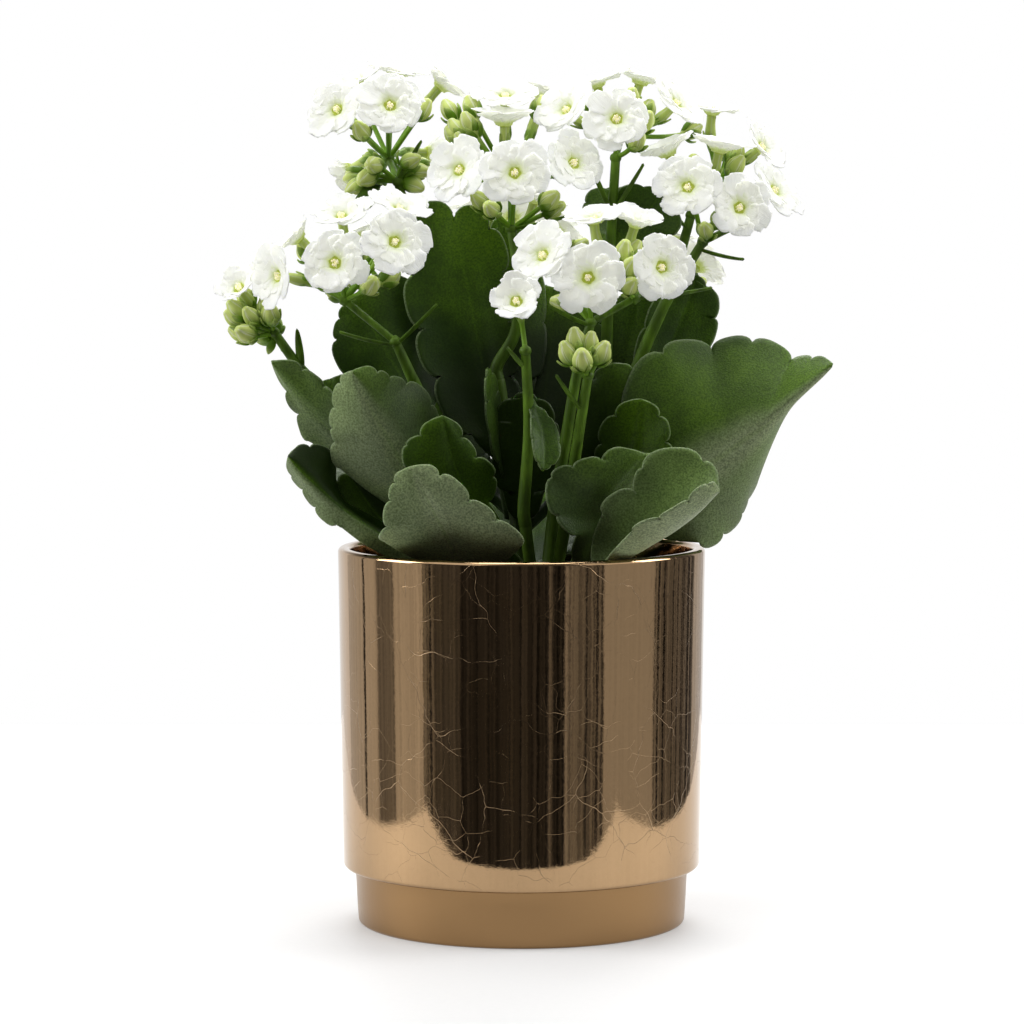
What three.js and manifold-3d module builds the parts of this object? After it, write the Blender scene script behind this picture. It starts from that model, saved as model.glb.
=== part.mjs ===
// A white double-flowered kalanchoe in its growing pot, standing in a bronze-glazed ceramic cover pot.
// Millimetres, +Z up. The cover pot stands on z = 0 with its axis on the origin, and -Y is the plant's front.
import * as THREE from "three";
import { mergeVertices } from "three/addons/utils/BufferGeometryUtils.js";
import Module from "manifold-3d";

const wasm = await Module();
wasm.setup();

// ---- Driving dimensions ----------------------------------------------------------------------------------

const RIM_RADIUS = 55; // cover pot, outside, at its rim
const POT_HEIGHT = 113;
const POT_WALL = 3.8;
const POT_ROUNDING = 1.2; // of its rim and lower edges
const BODY_FOOT_RADIUS = 53.6; // the body narrows a little towards its lower edge
const FOOT_HEIGHT = 17; // the recessed ring under the body
const FOOT_RADIUS = 50;
const FOOT_TAPER = 0.9; // the foot is this much narrower at the table
const FLOOR_HEIGHT = 6; // upper side of the cover pot's floor
const FLOOR_CURVE = 7; // height of the slope between the foot's inside and the body's

const GROWER_RIM_RADIUS = 49.4; // thin plastic pot that the plant was raised in
const GROWER_FOOT_RADIUS = 37;
const GROWER_HEIGHT = 89;
const GROWER_COLLAR = 8;
const GROWER_STEP = 1.6; // the collar stands out this far
const GROWER_WALL = 1;
const DRAIN_RADIUS = 4;
const DRAIN_CIRCLE = 24;
const DRAIN_COUNT = 5;

const SOIL_TOP = 90;
const SOIL_DOME = 1.5; // the soil is this much lower near its edge
const ROOT_FOOT = 70; // height at which each stem begins, down in the soil
const GAP = 0.3; // clearance between pieces that rest against each other

const LEAF_THICKNESS = 1.5; // fleshy blade, at its midrib
const LEAF_RIM = 0.6; // and at its margin
const STEM_RADIUS = 3.2;
const STEM_TOP_RADIUS = 2.2;
const SOCKET_RADIUS = 4.1; // plain hole in the soil round a stem
const STALK_RADIUS = 1.9;
const PETIOLE_HALF_WIDTH = 1.9;
const PETIOLE_THICKNESS = 2.6;
const PETIOLE_SHARE = 0.16; // of the leaf's length
const SCALLOP_DEPTH = 0.13; // notch between two scallops, of the distance from the blade's middle
const LOBE_BULGE = 0.27; // how far a lobe stands out between its notches, as a share of their distance
const LOBE_BLUNTNESS = 2.6; // 2 is a round lobe and more is a blunter one
const FLANK_BULGE = 0.06; // the same for the plain margin next to the petiole
const LEAST_STEP = 0.03; // least distance of two rows to notches, as a share of the midrib
const SEARCH_STEP = 0.02; // along the midrib, when the place next to a notch is looked for
const FINE_PHASES = [0, 0.28, 0.72]; // where a lobe's margin has points, from notch to notch
const PLAIN_PHASES = [0, 0.5]; // the same for a small or flat leaf
const THREE_LINES = [0, 0.5, 1]; // lines of points from the midrib to the margin of a broad or bowed leaf
const TWO_LINES = [0, 1]; // and of any other
const WEDGE_ANGLE = 0.3 * Math.PI; // the wedge-shaped foot of the blade has no scallops
const BROAD_LEAF = 39; // a wider leaf gets one more line of points between midrib and margin
const FINE_LEAF = 30; // a narrower one gets fewer points round each scallop
const BACK_LEAF = 10; // as does a leaf whose tip lies further back than this
const MIDRIB_LAG = 0.93; // each cross rib meets the midrib this much nearer the leaf's foot

const PETALS = 6; // in each of an open flower's two layers
const HALF_OPEN_PETALS = 5;
const HALF_OPEN = 0.7; // a flower that is open no further than this has the smaller number
const TO_THE_FRONT = 0.6; // how far a flower of the front heads turns from away from its heart
const BACK_HEADS = 40; // heads from here on look away from the heart alone, in millimetres behind the axis
const NOTCH_REACH = 0.64; // from the throat to between two petals, as a share of the flower's radius
const RIDGE_REACH = 0.6; // and to where a petal is thickest
const WAIST_REACH = 0.16; // and to where the inner petals part
const INNER_REACH = 0.66; // and to the tips of the inner petals
const INNER_NOTCH_REACH = 0.4; // and to between two of them
const TIP_HALF_WIDTH = 0.3; // of a petal's blunt tip, as a share of the space for one petal
const UPRIGHT = 70; // slope of the petals of a closed flower, in degrees
const DROOP = 3; // and of a fully open one, below level
const INNER_RISE = 0.45; // the inner petals stand this much steeper, in radians
const STEEPEST = 1.35;
const INNER_LIFT = 0.6; // and grow this much higher on the throat
const PETAL_THICKNESS = 0.8; // along a petal's middle
const PETAL_WAVE = 0.05; // neighbouring petals slope this much more and less, in radians
const PETAL_ROOT = 0.7; // half the thickness of a layer of petals where they meet
const TUBE_LENGTH = 8.5; // green-white tube behind each open flower
const TUBE_RADIUS = 1.7;
const THROAT_RADIUS = 1.3; // of the tube, just under the petals
const CALYX_SHARE = 0.72; // of the way from fork to petals, where the tube is widest
const PEDICEL_RADIUS = 0.75;
const PEDICEL_ROOT = 0.35; // inside the knuckle that the pedicels of one fork grow from
const KNUCKLE_RADIUS = 2.2;
const BUD_LENGTH = 7;
const BUD_RADIUS = 2.7;
const BUD_TIP_RADIUS = 1.4;
const ARM_RADIUS = 1; // of the twig between two forks of one head
const BRACT_RADIUS = 1.1;

const SCRAP = 1; // cubic millimetres: a smaller piece left between crossing petals is dropped

const POT_SEGMENTS = 36;
const GROWER_SEGMENTS = 20;
const HOLE_SEGMENTS = 8;
const STEM_SIDES = 5;
const PEDICEL_SIDES = 3;
const BUD_SIDES = 4;

const SWEEP_START = [0.31, 0.95, 0.07]; // first side of a swept body: not in line with any of them

const v = (x, y, z) => new THREE.Vector3(x, y, z);
const vec = (a) => v(a[0], a[1], a[2]);
const UP = v(0, 0, 1);

// ---- Materials -------------------------------------------------------------------------------------------

const MATERIALS = {
  bronze_glaze: new THREE.MeshStandardMaterial({ color: 0x8a6a48, roughness: 0.16, metalness: 0.9 }),
  black_plastic: new THREE.MeshStandardMaterial({ color: 0x1c1c1b, roughness: 0.6, metalness: 0 }),
  potting_soil: new THREE.MeshStandardMaterial({ color: 0x2b1d14, roughness: 1, metalness: 0 }),
  leaf_green: new THREE.MeshStandardMaterial({ color: 0x2f5212, roughness: 0.42, metalness: 0 }),
  stalk_green: new THREE.MeshStandardMaterial({ color: 0x5f8a24, roughness: 0.5, metalness: 0 }),
  petal_white: new THREE.MeshStandardMaterial({ color: 0xf4f4ee, roughness: 0.6, metalness: 0 }),
};

// ---- Plant layout ----------------------------------------------------------------------------------------
// A leaf runs from base by bend to tip. The margins of a leaf with left and right pass through the notches
// listed there, from the petiole to the tip, bow lifts each of its halves between midrib and margin, and
// crown is how far the two lobes at its tip stand out.
// Any other leaf has half = [left, right] for half its width, face for the way its upper side looks,
// fold = [left, right] to lift each half towards the face, in degrees, and lobes scallops on each side.

const LEAFY_STEMS = {
  left: {
    path: [[-12, -6, 70], [-12, -6, 92], [-15, -8, 108], [-20, -11, 126], [-27, -15, 148], [-30, -17, 158]],
    branches: [[[-21, -12, 128], [-38, 0, 140], [-52, 6, 152]]],
    leaves: [
      {
        base: [-13, -9, 100], bend: [-22, -50, 121], tip: [-32, -50, 140], bow: 0.05,
        left: [[-40, -42, 118], [-38, -46, 123], [-37, -48, 130], [-36, -49, 135]],
        right: [[0, -46, 117], [-8, -47, 124], [-16, -48, 130], [-24, -49, 137]],
      },
      {
        base: [-17, -10, 112], bend: [-37, -36, 140], tip: [-49, -38, 167], bow: 0.05,
        left: [[-53, -24, 138], [-54, -26, 146], [-55, -28, 150], [-54, -30, 156], [-52, -34, 163]],
        right: [[-25, -14, 145], [-27, -18, 156], [-34, -26, 162], [-39, -31, 164], [-42, -36, 166]],
      },
      {
        base: [-18, -9, 118], bend: [-60, -8, 147], tip: [-74, -12, 169], bow: -0.05,
        left: [[-63, -6, 145], [-66, -6, 153], [-69, -8, 160]],
        right: [[-54, -14, 153], [-59, -14, 161], [-65, -13, 166]],
      },
      {
        base: [-20, -11, 126], bend: [-56, 0, 150], tip: [-57, 2, 163], bow: 0,
        left: [[-50, 0, 140], [-61, 2, 145], [-62, 2, 151], [-61, 2, 160]],
        right: [[-41, -4, 144], [-42, -2, 153], [-47, 0, 159], [-52, 1, 163]],
      },
      {
        base: [-14, -9, 102], bend: [-55, -34, 124], tip: [-68, -30, 142], bow: 0,
        left: [[-54, -28, 122], [-60, -26, 127], [-64, -25, 132], [-67, -26, 136]],
        right: [[-53, -20, 128], [-55, -20, 135], [-56, -22, 142], [-62, -26, 144]],
      },
      {
        base: [-15, -8, 104], bend: [-44, -14, 119], tip: [-51, -18, 136], bow: 0,
        left: [[-52, -18, 120], [-54, -19, 128], [-54, -19, 134]],
        right: [[-35, -14, 126], [-38, -15, 133], [-44, -17, 138]],
      },
      {
        base: [-26, -13, 146], bend: [-37, 2, 164], tip: [-50, 4, 187], bow: 0.05,
        left: [[-41, 2, 161], [-50, 2, 164], [-55, 3, 175], [-54, 4, 181]],
        right: [[-24, 10, 166], [-26, 11, 178], [-32, 11, 189], [-41, 9, 193]],
      },
      {
        base: [-13, -5, 106], bend: [-42, 18, 116], tip: [-58, 34, 142],
        half: [17, 17], face: [0.4, -0.4, 0.9], fold: [18, 18],
      },
    ],
  },
  centre: {
    path: [[0, -2, 70], [0, -2, 92], [0, -2, 110], [-3, -2, 135], [-6, -5, 156], [-7, -6, 163]],
    branches: [[[-3, -2, 136], [-8, 4, 147], [-14, 10, 157]]],
    leaves: [
      {
        base: [-3, 0, 122], bend: [-13, 2, 180], tip: [-20.4, 9, 210.6], bow: -0.06, crown: 0.53,
        left: [[-15, -2, 147], [-24, -1, 164], [-29, 1, 178], [-32, 4, 194], [-31.5, 7, 210]],
        right: [[-6, 2, 147], [-4, 4, 164], [-4, 6, 180], [-6, 8, 195], [-10, 9, 208]],
      },
      {
        base: [-1, -4, 108], bend: [-19, -34, 129], tip: [-23, -36, 154], bow: 0.08,
        left: [[-32, -32, 131], [-33, -34, 139], [-33, -36, 145], [-29, -36, 148]],
        right: [[-10, -24, 128], [-9, -26, 136], [-14, -32, 141], [-18, -34, 147]],
      },
      {
        base: [-3, -4, 128], bend: [-8, -17, 146], tip: [-10, -21, 167],
        half: [6, 6], face: [0.95, -0.3, 0], fold: [0, 8],
      },
      {
        base: [-3, 1, 140], bend: [0, 12, 172], tip: [-7, 18, 211],
        half: [9, 11], face: [0.3, -1, 0], fold: [0, 0],
      },
      {
        base: [0, -4, 114], bend: [1, -12, 138], tip: [1, -16, 160],
        half: [10, 10], face: [0, -1, 0.3], fold: [6, 6],
      },
      {
        base: [0, 0, 118], bend: [9, 12, 162], tip: [10, 20, 190], bow: 0,
        left: [[3, 8, 141], [-4, 10, 153], [-6, 12, 168], [-5, 16, 179], [1, 19, 188]],
        right: [[15, 8, 141], [22, 10, 154], [24, 12, 167], [23, 16, 179], [19, 19, 187]],
      },
    ],
  },
  right: {
    path: [[14, 2, 70], [14, 2, 92], [17, 2, 106], [22, 3, 126], [28, 2, 150], [33, 1, 163]],
    branches: [
      [[22, 3, 127], [24, 6, 145], [25, 7, 160]],
      [[29, 3, 152], [33, 7, 162], [37, 8, 172]],
    ],
    leaves: [
      {
        base: [19, 1, 114], bend: [57, -22, 135], tip: [92, -12, 168], bow: 0.06,
        left: [[33, -8, 151], [42, -6, 171], [57, 0, 171], [69, 2, 174], [80, -2, 168], [86, -7, 169]],
        right: [[53, -8, 115], [60, -2, 118], [66, 3, 123], [68, 6, 127], [71, 8, 132], [78, 2, 155]],
      },
      {
        base: [17, 0, 100], bend: [20, -42, 125], tip: [36, -37, 143], bow: 0.05,
        left: [[16, -38, 120], [10, -42, 126], [9, -43, 136], [15, -43, 139], [23, -41, 141]],
        right: [[26, -26, 120], [31, -26, 124], [35, -27, 128], [37, -29, 134], [39, -33, 140]],
      },
      {
        base: [20, 1, 118], bend: [35, -16, 136], tip: [35, -20, 158], bow: 0,
        left: [[25, -14, 136], [24, -16, 145], [28, -18, 153]],
        right: [[42, -12, 136], [42, -16, 145], [40, -18, 153]],
      },
      {
        base: [19, 1, 118], bend: [25, -8, 145], tip: [27, -6, 168], bow: 0,
        left: [[18, -6, 133], [17, -6, 145], [18, -6, 155], [22, -6, 163]],
        right: [[32, -6, 136], [36, -6, 148], [37, -6, 158], [33, -6, 165]],
      },
      {
        base: [20, 5, 120], bend: [30, 20, 155], tip: [36, 24, 188], bow: 0,
        left: [[24, 14, 140], [21, 18, 152], [21, 22, 164], [23, 24, 176], [28, 24, 184]],
        right: [[33, 10, 141], [39, 14, 152], [43, 18, 163], [44, 21, 174], [43, 23, 184]],
      },
      {
        base: [28, 4, 150], bend: [46, 16, 168], tip: [53, 19, 194],
        half: [10, 11], face: [0.2, -1, 0.2], fold: [4, 4],
      },
      {
        base: [17, 4, 104], bend: [52, 14, 118], tip: [74, 20, 148],
        half: [18, 18], face: [-0.4, -0.4, 0.9], fold: [16, 16],
      },
    ],
  },
  front: {
    path: [[7, -22, 70], [7, -22, 92], [8, -23, 106], [9, -24, 118], [10, -26, 128]],
    branches: [
      [[7, -22, 94], [3, -28, 108], [1, -33, 122]],
      [[8, -23, 100], [11, -28, 112], [13, -31, 124]],
    ],
    leaves: [
      {
        base: [9, -24, 102], bend: [49, -50, 120], tip: [56, -52, 134], bow: -0.1,
        left: [[23, -42, 126], [33, -45, 132], [35, -46, 139], [52, -47, 141]],
        right: [[32, -54, 122], [39, -58, 126], [47, -59, 131], [53, -57, 135]],
      },
    ],
  },
  back: {
    path: [[2, 22, 70], [2, 22, 92], [1, 25, 110], [0, 29, 130], [-2, 34, 152]],
    branches: [
      [[1, 28, 126], [-10, 35, 142], [-18, 40, 154]],
      [[1, 28, 124], [12, 34, 140], [20, 40, 152]],
    ],
    leaves: [
      {
        base: [2, 24, 98], bend: [-28, 38, 110], tip: [-52, 50, 138],
        half: [19, 19], face: [0.4, -0.4, 0.9], fold: [14, 14],
      },
      {
        base: [2, 26, 100], bend: [4, 50, 112], tip: [6, 68, 136],
        half: [20, 20], face: [0, -0.5, 0.9], fold: [14, 14],
      },
      {
        base: [3, 24, 104], bend: [32, 42, 116], tip: [50, 56, 142],
        half: [18, 18], face: [-0.4, -0.4, 0.9], fold: [14, 14],
      },
      {
        base: [0, 28, 118], bend: [-26, 38, 140], tip: [-40, 44, 170],
        half: [15, 15], face: [0.5, -0.8, 0.5], fold: [10, 10],
      },
      {
        base: [1, 28, 116], bend: [28, 38, 140], tip: [42, 46, 168],
        half: [15, 15], face: [-0.5, -0.8, 0.5], fold: [10, 10],
      },
      {
        base: [-1, 31, 136], bend: [-2, 52, 152], tip: [-2, 58, 184],
        half: [15, 15], face: [0, -0.9, 0.4], fold: [10, 10],
      },
    ],
  },
};

// A flower stalk rises along path and parts at its forks. heart is the middle of its head: a flower looks
// away from it unless it has a face of its own. at is the flower's throat, wide its width, open 1 when flat.
const FLOWER_STALKS = {
  far_left: {
    path: [[-52, 6, 152], [-66, 3, 166]],
    forks: [[-74, 2, 177]],
    heart: [-74, 4, 176],
    blooms: [
      { at: [-84, 0, 190], wide: 15, open: 0.5 },
      { at: [-77, 4, 193], wide: 15, open: 0.5 },
    ],
    buds: [
      [-88, 1, 183], [-82, -4, 184], [-75, -4, 185], [-84, -6, 178], [-87, 5, 178], [-77, 2, 187],
      [-84, 6, 190], [-87, 0, 186], [-75, 8, 182], [-80, 4, 177],
    ],
    bracts: [{ from: [-66, 3, 166], to: [-67, -1, 178] }],
  },
  left: {
    path: [[-30, -17, 158], [-33, -20, 166]],
    forks: [[-37, -22, 175], [-52, -18, 187]],
    heart: [-50, -14, 190],
    blooms: [
      { at: [-54, -32, 198], wide: 21, open: 0.85 },
      { at: [-37, -34, 204], wide: 21, open: 0.85 },
      { at: [-71, -16, 194], wide: 21, open: 0.7, face: [-0.8, -0.6, 0.1] },
      { at: [-36, -22, 213], wide: 20, open: 0.7, face: [0.3, -0.4, 0.9] },
      { at: [-53, -13, 211], wide: 21, open: 0.7 },
      { at: [-66, -3, 205], wide: 15, open: 0.5 },
    ],
    buds: [
      [-43, -30, 193], [-61, -12, 203], [-44, -14, 204], [-60, -6, 194], [-57, -10, 190],
      [-37, -6, 195], [-66, 2, 203],
    ],
    bracts: [
      { from: [-37, -22, 174], to: [-25, -24, 186] },
      { from: [-37, -22, 174], to: [-53, -25, 178] },
    ],
  },
  upper_left: {
    path: [[-14, 10, 157], [-25, 17, 183], [-33, 12, 207]],
    forks: [[-37, 7, 222], [-40, 15, 229]],
    heart: [-42, 12, 232],
    blooms: [
      { at: [-54.5, 2, 243], wide: 21, open: 0.8 },
      { at: [-39, -5, 244], wide: 21, open: 0.9, face: [0.1, -0.9, 0.45] },
      { at: [-50, 20, 251], wide: 21, open: 0.8 },
      { at: [-38, 24, 254], wide: 21, open: 0.8 },
      { at: [-25, 32, 251], wide: 18, open: 0.6 },
      { at: [-52, 32, 226], wide: 14, open: 0.4 },
      { at: [-29, 36, 231], wide: 14, open: 0.4 },
    ],
    buds: [
      [-49, 0, 239], [-53, 22, 223], [-47, 24, 229], [-45, 32, 222], [-33, 32, 224], [-28, 28, 227],
      [-48, 4, 222], [-45, 0, 227], [-52, 8, 219], [-31, 2, 229], [-28, 8, 225], [-30, 6, 220],
      [-28, 10, 246],
    ],
    bracts: [{ from: [-37, 7, 222], to: [-30, 2, 234] }],
    leaves: [
      {
        base: [-33, 12, 208], bend: [-40, 5, 229], tip: [-49, 1, 212],
        half: [4.5, 4.5], face: [0, -0.3, 0.95], fold: [6, 6], lobes: 2.5,
      },
    ],
  },
  centre: {
    path: [[-7, -6, 163], [-2, -8, 177], [-1, -9, 192]],
    forks: [[-3, -8, 208], [-3, 2, 222]],
    heart: [-2, 2, 214],
    blooms: [
      { at: [-2, -24, 224], wide: 22, open: 0.95, face: [0, -0.93, 0.35] },
      { at: [-18, -11, 225], wide: 21, open: 0.8 },
      { at: [15, -11, 227], wide: 20, open: 0.8 },
      { at: [-5, 14, 247], wide: 20, open: 0.85, face: [0, -0.45, 0.9] },
      { at: [-5, 3, 239], wide: 21, open: 0.6, face: [0, -0.1, 1] },
      { at: [6, 31, 248], wide: 20, open: 0.7 },
    ],
    buds: [
      [-10, -20, 215], [-14, -14, 218], [10, -14, 218], [12, -10, 215], [-21, 8, 240], [-17, 4, 242],
      [-16, 12, 247], [-23, 16, 246], [-16, 4, 241], [-22, 8, 238], [-19, 4, 236], [6, 14, 247],
      [-14, -8, 217],
    ],
    bracts: [{ from: [-3, -8, 208], to: [14, -14, 212] }],
  },
  upper_right: {
    path: [[25, 7, 160], [26, 4, 190], [27, 0, 212]],
    forks: [[28, 0, 229], [30, 10, 236]],
    heart: [29, 8, 228],
    blooms: [
      { at: [28, -9, 240], wide: 21, open: 0.9, face: [0, -0.9, 0.4] },
      { at: [14, 5, 243], wide: 21, open: 0.75 },
      { at: [24, 2, 239], wide: 13, open: 0.6, face: [-0.6, -0.7, 0.3] },
      { at: [23, 22, 251], wide: 21, open: 0.8 },
      { at: [36, 26, 252], wide: 21, open: 0.8 },
      { at: [46, 12, 245], wide: 20, open: 0.85 },
    ],
    buds: [
      [35, -8, 236], [38, -2, 242], [33, 0, 249], [20, 14, 249], [54, 24, 239],
      [39, 20, 246],
    ],
    bracts: [
      { from: [27, 0, 212], to: [20, -4, 228] },
      { from: [27, 0, 212], to: [36, -3, 227] },
    ],
    leaves: [
      {
        base: [26, 2, 198], bend: [34, 4, 207], tip: [42, 5, 219],
        half: [11, 11], face: [0.1, -1, 0.3], fold: [12, 12], lobes: 2.5,
      },
      {
        base: [26, 3, 203], bend: [26, 14, 210], tip: [30, 18, 220],
        half: [9, 9], face: [-0.1, -0.9, 0.4], fold: [6, 6], lobes: 2.5,
      },
    ],
  },
  right: {
    path: [[33, 1, 163], [42, 0, 184]],
    forks: [[54, 0, 204], [64, 0, 209]],
    heart: [57, 4, 206],
    blooms: [
      { at: [49, -14, 220], wide: 21, open: 0.85, face: [-0.2, -0.9, 0.35] },
      { at: [64, -11, 214], wide: 20, open: 0.85, face: [0.3, -0.9, 0.2] },
      { at: [75, 5, 219], wide: 21, open: 0.8 },
    ],
    buds: [
      [54, -8, 209], [60, 12, 213],
    ],
    bracts: [{ from: [53, 0, 202], to: [66, -2, 199] }],
  },
  right_back: {
    path: [[37, 8, 172], [44, 8, 188]],
    forks: [[51, 11, 212], [60, 18, 222]],
    heart: [55, 14, 218],
    blooms: [
      { at: [44, 3, 230], wide: 20, open: 0.6, face: [-0.4, -0.1, 1] },
      { at: [59, 4, 231], wide: 21, open: 0.7, face: [0.2, -0.1, 1] },
      { at: [72, 17, 232], wide: 20, open: 0.7 },
      { at: [58, 27, 243], wide: 20, open: 0.8 },
    ],
    buds: [
      [51, -2, 229], [66, 9, 229], [64, 28, 234], [66, 18, 233], [55, 6, 227], [72, 16, 214],
    ],
    bracts: [{ from: [50, 10, 208], to: [40, 12, 219] }],
  },
  front: {
    path: [[10, -26, 128], [13, -29, 148], [16, -32, 166]],
    forks: [[20, -33, 181], [33, -30, 188]],
    heart: [24, -24, 190],
    blooms: [
      { at: [6.5, -39.5, 200], wide: 21, open: 0.8, face: [-0.5, -0.75, 0.45] },
      { at: [19, -46, 194], wide: 22, open: 0.95, face: [-0.05, -0.98, 0.1] },
      { at: [40, -38, 197], wide: 21, open: 0.85, face: [0.4, -0.9, 0.1] },
      { at: [21, -28, 210], wide: 20, open: 0.8, face: [-0.1, -0.25, 1] },
      { at: [33, -25, 209], wide: 18, open: 0.5, face: [0.3, -0.3, 0.9] },
    ],
    buds: [
      [30, -36, 204], [32, -40, 199], [32, -41, 193], [32, -30, 197], [34, -26, 204], [9, -24, 187],
      [11, -16, 195],
    ],
    bracts: [{ from: [33, -30, 188], to: [55, -30, 191] }, { from: [20, -33, 180], to: [8, -38, 186] }],
  },
  front_single: {
    path: [[1, -33, 122], [2, -38, 150]],
    forks: [[1, -43, 173]],
    heart: [1, -42, 176],
    blooms: [{ at: [-1.5, -48, 187], wide: 17, open: 0.5, face: [-0.15, -0.86, 0.48] }],
    buds: [],
    bracts: [{ from: [1, -42, 168], to: [-4, -44, 174] }],
    leaves: [
      {
        base: [2, -38, 159], bend: [7, -43, 152], tip: [6, -47, 139],
        half: [5, 5], face: [0.5, -0.8, 0], fold: [20, 20], lobes: 2.5,
      },
    ],
  },
  front_budded: {
    path: [[13, -31, 124], [16, -38, 146]],
    forks: [[19, -43, 166]],
    heart: [18, -43, 166],
    blooms: [],
    buds: [
      [15, -46, 179], [12, -47, 175], [20, -46, 178], [24, -47, 175], [17, -49, 173], [17, -52, 173],
    ],
    bracts: [{ from: [17, -41, 156], to: [10, -43, 166] }],
  },
  back_left: {
    path: [[-18, 40, 154], [-30, 42, 172]],
    forks: [[-40, 45, 188]],
    heart: [-43, 49, 184],
    blooms: [
      { at: [-38, 43, 207], wide: 21, open: 0.85 },
      { at: [-52, 49, 205], wide: 21, open: 0.85 },
      { at: [-42, 61, 204], wide: 21, open: 0.85 },
      { at: [-55, 60, 198], wide: 20, open: 0.75 },
    ],
    buds: [[-30, 60, 198], [-56, 36, 194]],
    bracts: [{ from: [-39, 45, 186], to: [-48, 54, 182] }],
  },
  back: {
    path: [[-2, 34, 152], [-3, 42, 176]],
    forks: [[-4, 49, 194]],
    heart: [-4, 50, 190],
    blooms: [
      { at: [-12, 50, 215], wide: 21, open: 0.85 },
      { at: [4, 51, 216], wide: 21, open: 0.85 },
      { at: [-3, 65, 211], wide: 21, open: 0.85 },
      { at: [11, 61, 207], wide: 20, open: 0.8 },
      { at: [-18, 60, 206], wide: 20, open: 0.8 },
    ],
    buds: [[4, 72, 195], [20, 48, 204]],
    bracts: [{ from: [-4, 48, 192], to: [8, 56, 190] }],
  },
  back_right: {
    path: [[20, 40, 152], [29, 42, 170]],
    forks: [[38, 46, 186]],
    heart: [40, 48, 182],
    blooms: [
      { at: [34, 45, 207], wide: 21, open: 0.85 },
      { at: [48, 46, 205], wide: 21, open: 0.85 },
      { at: [41, 60, 203], wide: 21, open: 0.85 },
      { at: [55, 58, 196], wide: 20, open: 0.75 },
    ],
    buds: [[27, 60, 196], [56, 38, 192]],
    bracts: [{ from: [37, 45, 184], to: [46, 54, 181] }],
  },
};

// ---- Solids from three.js geometry ------------------------------------------------------------------------

// A closed geometry as a solid that can be joined and cut.
function solid(geometry) {
  const bare = geometry.index ? geometry.toNonIndexed() : geometry.clone();
  bare.deleteAttribute("normal");
  bare.deleteAttribute("uv");
  const merged = mergeVertices(bare, 1e-4);
  return new wasm.Manifold(
    new wasm.Mesh({
      numProp: 3,
      vertProperties: merged.attributes.position.array,
      triVerts: new Uint32Array(merged.index.array),
    }),
  );
}

const fuse = (solids) => solids.reduce((whole, piece) => whole.add(piece));

function meshOf(name, shape, material) {
  const { numProp, vertProperties, triVerts } = shape.getMesh();
  const geometry = new THREE.BufferGeometry();
  geometry.setAttribute("position", new THREE.BufferAttribute(new Float32Array(vertProperties), numProp));
  geometry.setIndex(new THREE.BufferAttribute(new Uint32Array(triVerts), 1));
  geometry.computeVertexNormals();
  const mesh = new THREE.Mesh(geometry, MATERIALS[material]);
  mesh.name = name;
  return mesh;
}

// A geometry from corner points and triangles of their numbers.
function faceted(points, triangles) {
  const geometry = new THREE.BufferGeometry();
  const numbers = points.flatMap((point) => point.toArray());
  geometry.setAttribute("position", new THREE.Float32BufferAttribute(numbers, 3));
  geometry.setIndex(triangles.flat());
  return geometry;
}

// A round body along a curve; profile lists [share of the curve, radius].
function sweep(curve, profile, sides) {
  const points = [];
  const triangles = [];
  let across = null;
  for (const [share, radius] of profile) {
    const centre = curve.getPointAt(share);
    const along = curve.getTangentAt(share);
    across ??= v(...SWEEP_START);
    across = across.clone().addScaledVector(along, -across.dot(along)).normalize();
    const other = along.clone().cross(across);
    for (let side = 0; side < sides; side++) {
      const turn = (2 * Math.PI * side) / sides;
      points.push(
        centre
          .clone()
          .addScaledVector(across, radius * Math.cos(turn))
          .addScaledVector(other, radius * Math.sin(turn)),
      );
    }
  }
  for (let ring = 0; ring + 1 < profile.length; ring++)
    for (let side = 0; side < sides; side++) {
      const a = ring * sides + side;
      const b = ring * sides + ((side + 1) % sides);
      triangles.push([a, b, b + sides], [a, b + sides, a + sides]);
    }
  const last = (profile.length - 1) * sides;
  for (let side = 1; side + 1 < sides; side++) {
    triangles.push([0, side + 1, side]);
    triangles.push([last, last + side, last + side + 1]);
  }
  return faceted(points, triangles);
}

const smooth = (points) => new THREE.CatmullRomCurve3(points.map(vec), false, "centripetal");

// A stem that thins from its foot to its top.
function stem(points, footRadius, topRadius, sides = STEM_SIDES) {
  const rings = points.length - 1;
  const taper = (topRadius - footRadius) / rings;
  const profile = points.map((_, ring) => [ring / rings, footRadius + taper * ring]);
  return solid(sweep(smooth(points), profile, sides));
}

// ---- Leaf ------------------------------------------------------------------------------------------------

// Margin of one half of a leaf, from petiole to tip: [share of the length, width, whether on the petiole].
// A width on the petiole is in millimetres, and one on the blade is a share of the blade's half width.
function leafMargin(lobes, spread, fine) {
  const margin = [
    [0, PETIOLE_HALF_WIDTH, true],
    [PETIOLE_SHARE, PETIOLE_HALF_WIDTH, true],
  ];
  const onBlade = (angle, reach) => {
    const along = (1 - Math.cos(angle)) / 2;
    const across = Math.sin(angle) * (1 + (along - 0.5) * spread);
    const share = 0.5 + (along - 0.5) * reach;
    margin.push([PETIOLE_SHARE + (1 - PETIOLE_SHARE) * share, across * reach, false]);
  };
  onBlade(WEDGE_ANGLE / 2, 1);
  for (let lobe = 0; lobe < lobes; lobe++)
    for (const phase of fine ? FINE_PHASES : PLAIN_PHASES) {
      const turn = (lobe + phase) / lobes;
      const angle = WEDGE_ANGLE + (Math.PI - WEDGE_ANGLE) * turn;
      if (turn < 1) onBlade(angle, phase === 0 ? 1 - SCALLOP_DEPTH : 1);
    }
  onBlade(Math.PI, lobes % 1 === 0 ? 1 - SCALLOP_DEPTH : 1);
  return margin;
}

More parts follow.
